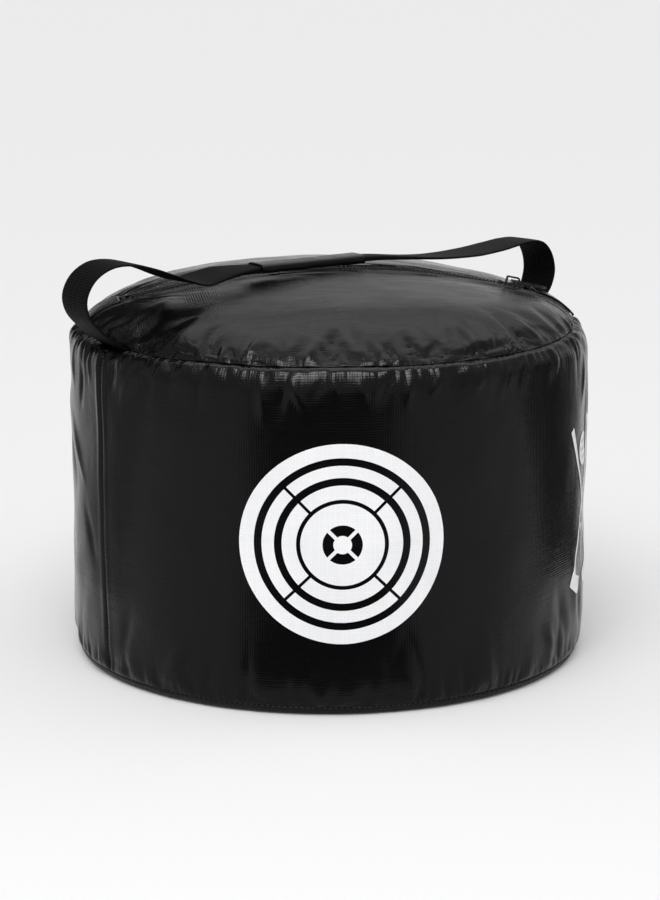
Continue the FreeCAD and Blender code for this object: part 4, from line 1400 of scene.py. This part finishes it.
def plain_grey(name, low, high, *numbers):
    """A plain finish between two near-black greys, each a little bluer than neutral."""
    return plain(name, (low, low, low + 0.001), (high, high, high + 0.002), *numbers)


thread = plain_grey("thread", 0.012, 0.030, 0.45, 1.5, 2500.0, 0.0001)
tooth_plastic = plain_grey("tooth plastic", 0.015, 0.025, 0.3, 1.48, 900.0, 0.00003)
enamel = plain_grey("black enamel", 0.012, 0.020, 0.18, 1.55, 500.0, 0.00003)
inner_tape = plain_grey("binding tape", 0.014, 0.022, 0.8, 1.4, 1500.0, 0.0002)
rag_finish = plain("rags", (0.30, 0.28, 0.26), (0.50, 0.47, 0.42), 0.9, 1.4, 60.0, 0.002)


# %% Ink
def ink():
    """White ink with the weave showing through, greyer in the weave's grooves as painted shade, and a little
    bluer where it lies thin.
    """
    finish = Finish("ink")
    weave = woven(finish)
    thin = finish.noise(26.0, 3.0)
    # Painted shade makes the weave's grooves greyer and bluer. The noise adds ink that is thinner, and so
    # bluer, at random.
    thin_ink_and_groove_shade = finish.math("MULTIPLY", finish.math("ADD", weave, thin), 0.62)
    shaded = finish.colours(thin_ink_and_groove_shade, (0.70, 0.71, 0.75), (0.90, 0.90, 0.905))
    normal = finish.bump(weave, 0.0001, 0.6)
    return finish.end(shaded, 0.42, normal, IOR=1.4)


ink_finish = ink()
for obj in (target_ink, emblem_ink):
    dress(obj, ink_finish, "bag")

# %% Dress the rest
for obj, node, start, end in ((left_loop, "handle_loop_left", left_start, left_end),
                              (right_loop, "handle_loop_right", right_start, right_end)):
    obj.data.materials.append(webbing)
    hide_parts(node)
    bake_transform(obj)
    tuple(start)
    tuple(end)
dress(folded_middle, webbing, "handle")
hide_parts("handle_middle")
dress(sleeve, wall_finish, "handle")
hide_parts("handle_grip_sleeve")
for tape in tapes.values():
    dress(tape, tape_finish, "bag")
for tab in tabs.values():
    dress(tab, wall_finish, "bag")
for obj in (seam_stitches, zip_stitches, base_stitches):
    dress(obj, thread, "bag")
for layer in rag_layers:
    dress(layer, rag_finish, "bag")
KEPT = (
    (tooth_plastic, ("zip_teeth_front", "zip_teeth_rear", "zip_top_stops", "zip_bottom_stop")),
    (enamel, ("zip_slider", "zip_pull")),
    (inner_tape, ("rim_seam_binding", "base_seam_binding", "side_seam_tape_left", "side_seam_tape_right")),
    (thread, ("handle_stitching",)),
)
for material, names in KEPT:
    for name in names:
        nodes[name].data.materials.clear()
        nodes[name].data.materials.append(material)

# %% [markdown]
# ## Studio
#
# A pale floor, a pale surround and a wide soft sun light the bag evenly. The surround is a little dimmer as
# a light than it is to the camera and in reflections. Black gloss shows nothing but reflections, so the
# rest of the studio is there for the gloss alone: two softboxes overhead draw the highlights, and dark
# cards out of sight give it its dark zones and sharp edges, as they do round a real bag. The cards cast no
# shadow. A small key light in front brightens the print.


# %% Floor and surround
FLOOR_GLOW = 0.05
FLOOR_TONE = 0.82


def card(obj, material):
    """Makes a flat object part of the studio and gives it its finish."""
    obj.data.materials.append(material)
    return obj


def pale_floor():
    """The floor glows a little for the camera and in gloss, and so it is even, yet keeps its shadow."""
    finish = Finish("pale floor")
    glow = finish.math("MULTIPLY", finish.seen(), FLOOR_GLOW)
    finish.give(finish.shader.inputs["Emission Strength"], glow)
    finish.shader.inputs["Emission Color"].default_value = (1, 1, 1, 1)
    finish.shader.inputs["Specular IOR Level"].default_value = 0.0
    bm = bmesh.new()
    bmesh.ops.create_grid(bm, x_segments=2, y_segments=2, size=60.0)
    bmesh.ops.translate(bm, verts=bm.verts, vec=(0, 0, -0.0004))
    card(new_object("floor", bm), finish.end((FLOOR_TONE, FLOOR_TONE, FLOOR_TONE, 1), 1.0))


def surround(seen, given):
    """A world with one strength where it is seen and another as a light."""
    world = bpy.data.worlds.new("surround")
    world.use_nodes = True
    world.node_tree.nodes.clear()
    sky = Nodes(world.node_tree)
    tones = [sky.node("Background", (None, strength)).outputs[0] for strength in (given, seen)]
    mix = sky.node("MixShader", (sky.seen(), *tones))
    sky.node("OutputWorld", (mix.outputs[0],))
    bpy.context.scene.world = world


pale_floor()
surround(0.85, 0.80)


# %% Dark cards
def dark_card(name, corners, tone):
    """A four-cornered card that only gloss sees."""
    bm = bmesh.new()
    bm.faces.new([bm.verts.new(p) for p in corners])
    finish = Finish(name)
    finish.shader.inputs["Specular IOR Level"].default_value = 0.0
    obj = card(new_object(name, bm), finish.end((tone, tone, tone, 1), 1.0))
    for ray in ("camera", "diffuse", "transmission", "volume_scatter", "shadow"):
        setattr(obj, f"visible_{ray}", False)


# The card behind stands on an arc. Each column has an azimuth, a low end and a high end.
CARD_ARC = 1.25
BEHIND_HIGH = [(-165, 0.36, 1.05), (-160, 0.36, 1.05), (-152, 0.36, 1.14), (-145, 1.02, 1.28),
               (-133, 1.06, 1.42), (-118, 1.02, 1.55), (-104, 1.00, 1.60)]
BEHIND_LOW = [(-152, 0.36, 0.92), (-145, 0.34, 0.90), (-133, 0.34, 0.92), (-118, 0.36, 0.88),
              (-104, 0.36, 0.88)]
BEHIND_EDGE = [(-171, 0.44, 0.66), (-169.5, 0.36, 0.90), (-165, 0.36, 1.05)]
BEHIND_HANDLE = [(176, 0.47, 0.57), (-176, 0.47, 0.57), (-171, 0.44, 0.66)]


def arc_card(name, columns, tone):
    for n, (first, last) in enumerate(zip(columns, columns[1:])):
        corners = [at(first[0], CARD_ARC, first[1]), at(last[0], CARD_ARC, last[1]),
                   at(last[0], CARD_ARC, last[2]), at(first[0], CARD_ARC, first[2])]
        dark_card(f"{name}_{n}", corners, tone)


def leaning_card(name, start, stop, near, far, rise, tone):
    """Leans away from the bag, from the floor up, between two azimuths."""
    corners = [at(start, near, 0.001), at(stop, near, 0.001), at(stop, far, rise), at(start, far, rise)]
    dark_card(name, corners, tone)


arc_card("dark_card_high", BEHIND_HIGH, 0.01)
arc_card("dark_card_low", BEHIND_LOW, 0.01)
arc_card("dark_card_edge", BEHIND_EDGE, 0.01)
arc_card("dark_card_handle", BEHIND_HANDLE, 0.04)
leaning_card("dark_card_right", 86.0, 125.0, 0.42, 1.5, 0.36, 0.12)
leaning_card("dark_card_left", -118.0, -82.0, 0.36, 1.5, 0.36, 0.42)
leaning_card("dark_card_corner", -131.0, -118.0, 0.34, 0.75, 0.02, 0.42)
dark_card("dark_card_front", [(-0.13, -0.25, 0.001), (0.09, -0.25, 0.001), (3.1, -6.0, 0.001),
                              (-3.9, -6.0, 0.001)], 0.05)


# %% Lamps and camera
def put(name, data, place, ahead):
    """Adds a lamp or a camera that looks one way."""
    obj = bpy.data.objects.new(name, data)
    bpy.context.scene.collection.objects.link(obj)
    obj.location = place
    obj.rotation_euler = ahead.to_track_quat("-Z", "Y").to_euler()
    return obj


def softbox(name, place, aim, width, height, power, lights=True):
    """A rectangular lamp. Without lights it shows in the gloss alone."""
    lamp = bpy.data.lights.new(name, "AREA")
    lamp.shape = "RECTANGLE"
    lamp.size = width
    lamp.size_y = height
    lamp.energy = power
    obj = put(name, lamp, place, Vector(aim) - place)
    obj.visible_camera = False
    obj.visible_diffuse = lights


def away(azimuth, rise):
    """The way out from the bag to one side, and up by an angle."""
    return at(azimuth, math.cos(math.radians(rise)), math.sin(math.radians(rise)))


def wide_sun(azimuth, rise, strength, spread):
    """An even light from one side, as soft as its spread in degrees is wide."""
    lamp = bpy.data.lights.new("wide sun", "SUN")
    lamp.energy = strength
    lamp.angle = math.radians(spread)
    put("wide sun", lamp, (0, 0, 0), -away(azimuth, rise))


softbox("key light", at(-8.0, 1.60, 1.7), (0, 0, 0.2), 1.0, 0.6, 10.0)
softbox("front softbox", at(2.0, 1.05, 2.0), (0, 0, 0.2), 1.1, 0.45, 26.0, lights=False)
softbox("rear softbox", at(178.0, 0.75, 2.10), (0, 0, 0.25), 3.0, 1.3, 17.0, lights=False)
wide_sun(-14.0, 62.0, 1.12, 50.0)

VIEW_WAY = away(-2.9, 13.45)
VIEW_DISTANCE = 2.2
VIEW_AIM = Vector((0, 0, 0.12875))
camera_data = bpy.data.cameras.new("camera")
camera_data.lens = 112.1
camera_data.sensor_width = 36.0
camera_data.shift_x = 0.0017
camera_data.shift_y = 0.0344
camera = put("camera", camera_data, VIEW_AIM + VIEW_WAY * VIEW_DISTANCE, -VIEW_WAY)
bpy.context.scene.camera = camera
bpy.context.scene.view_settings.view_transform = "Standard"
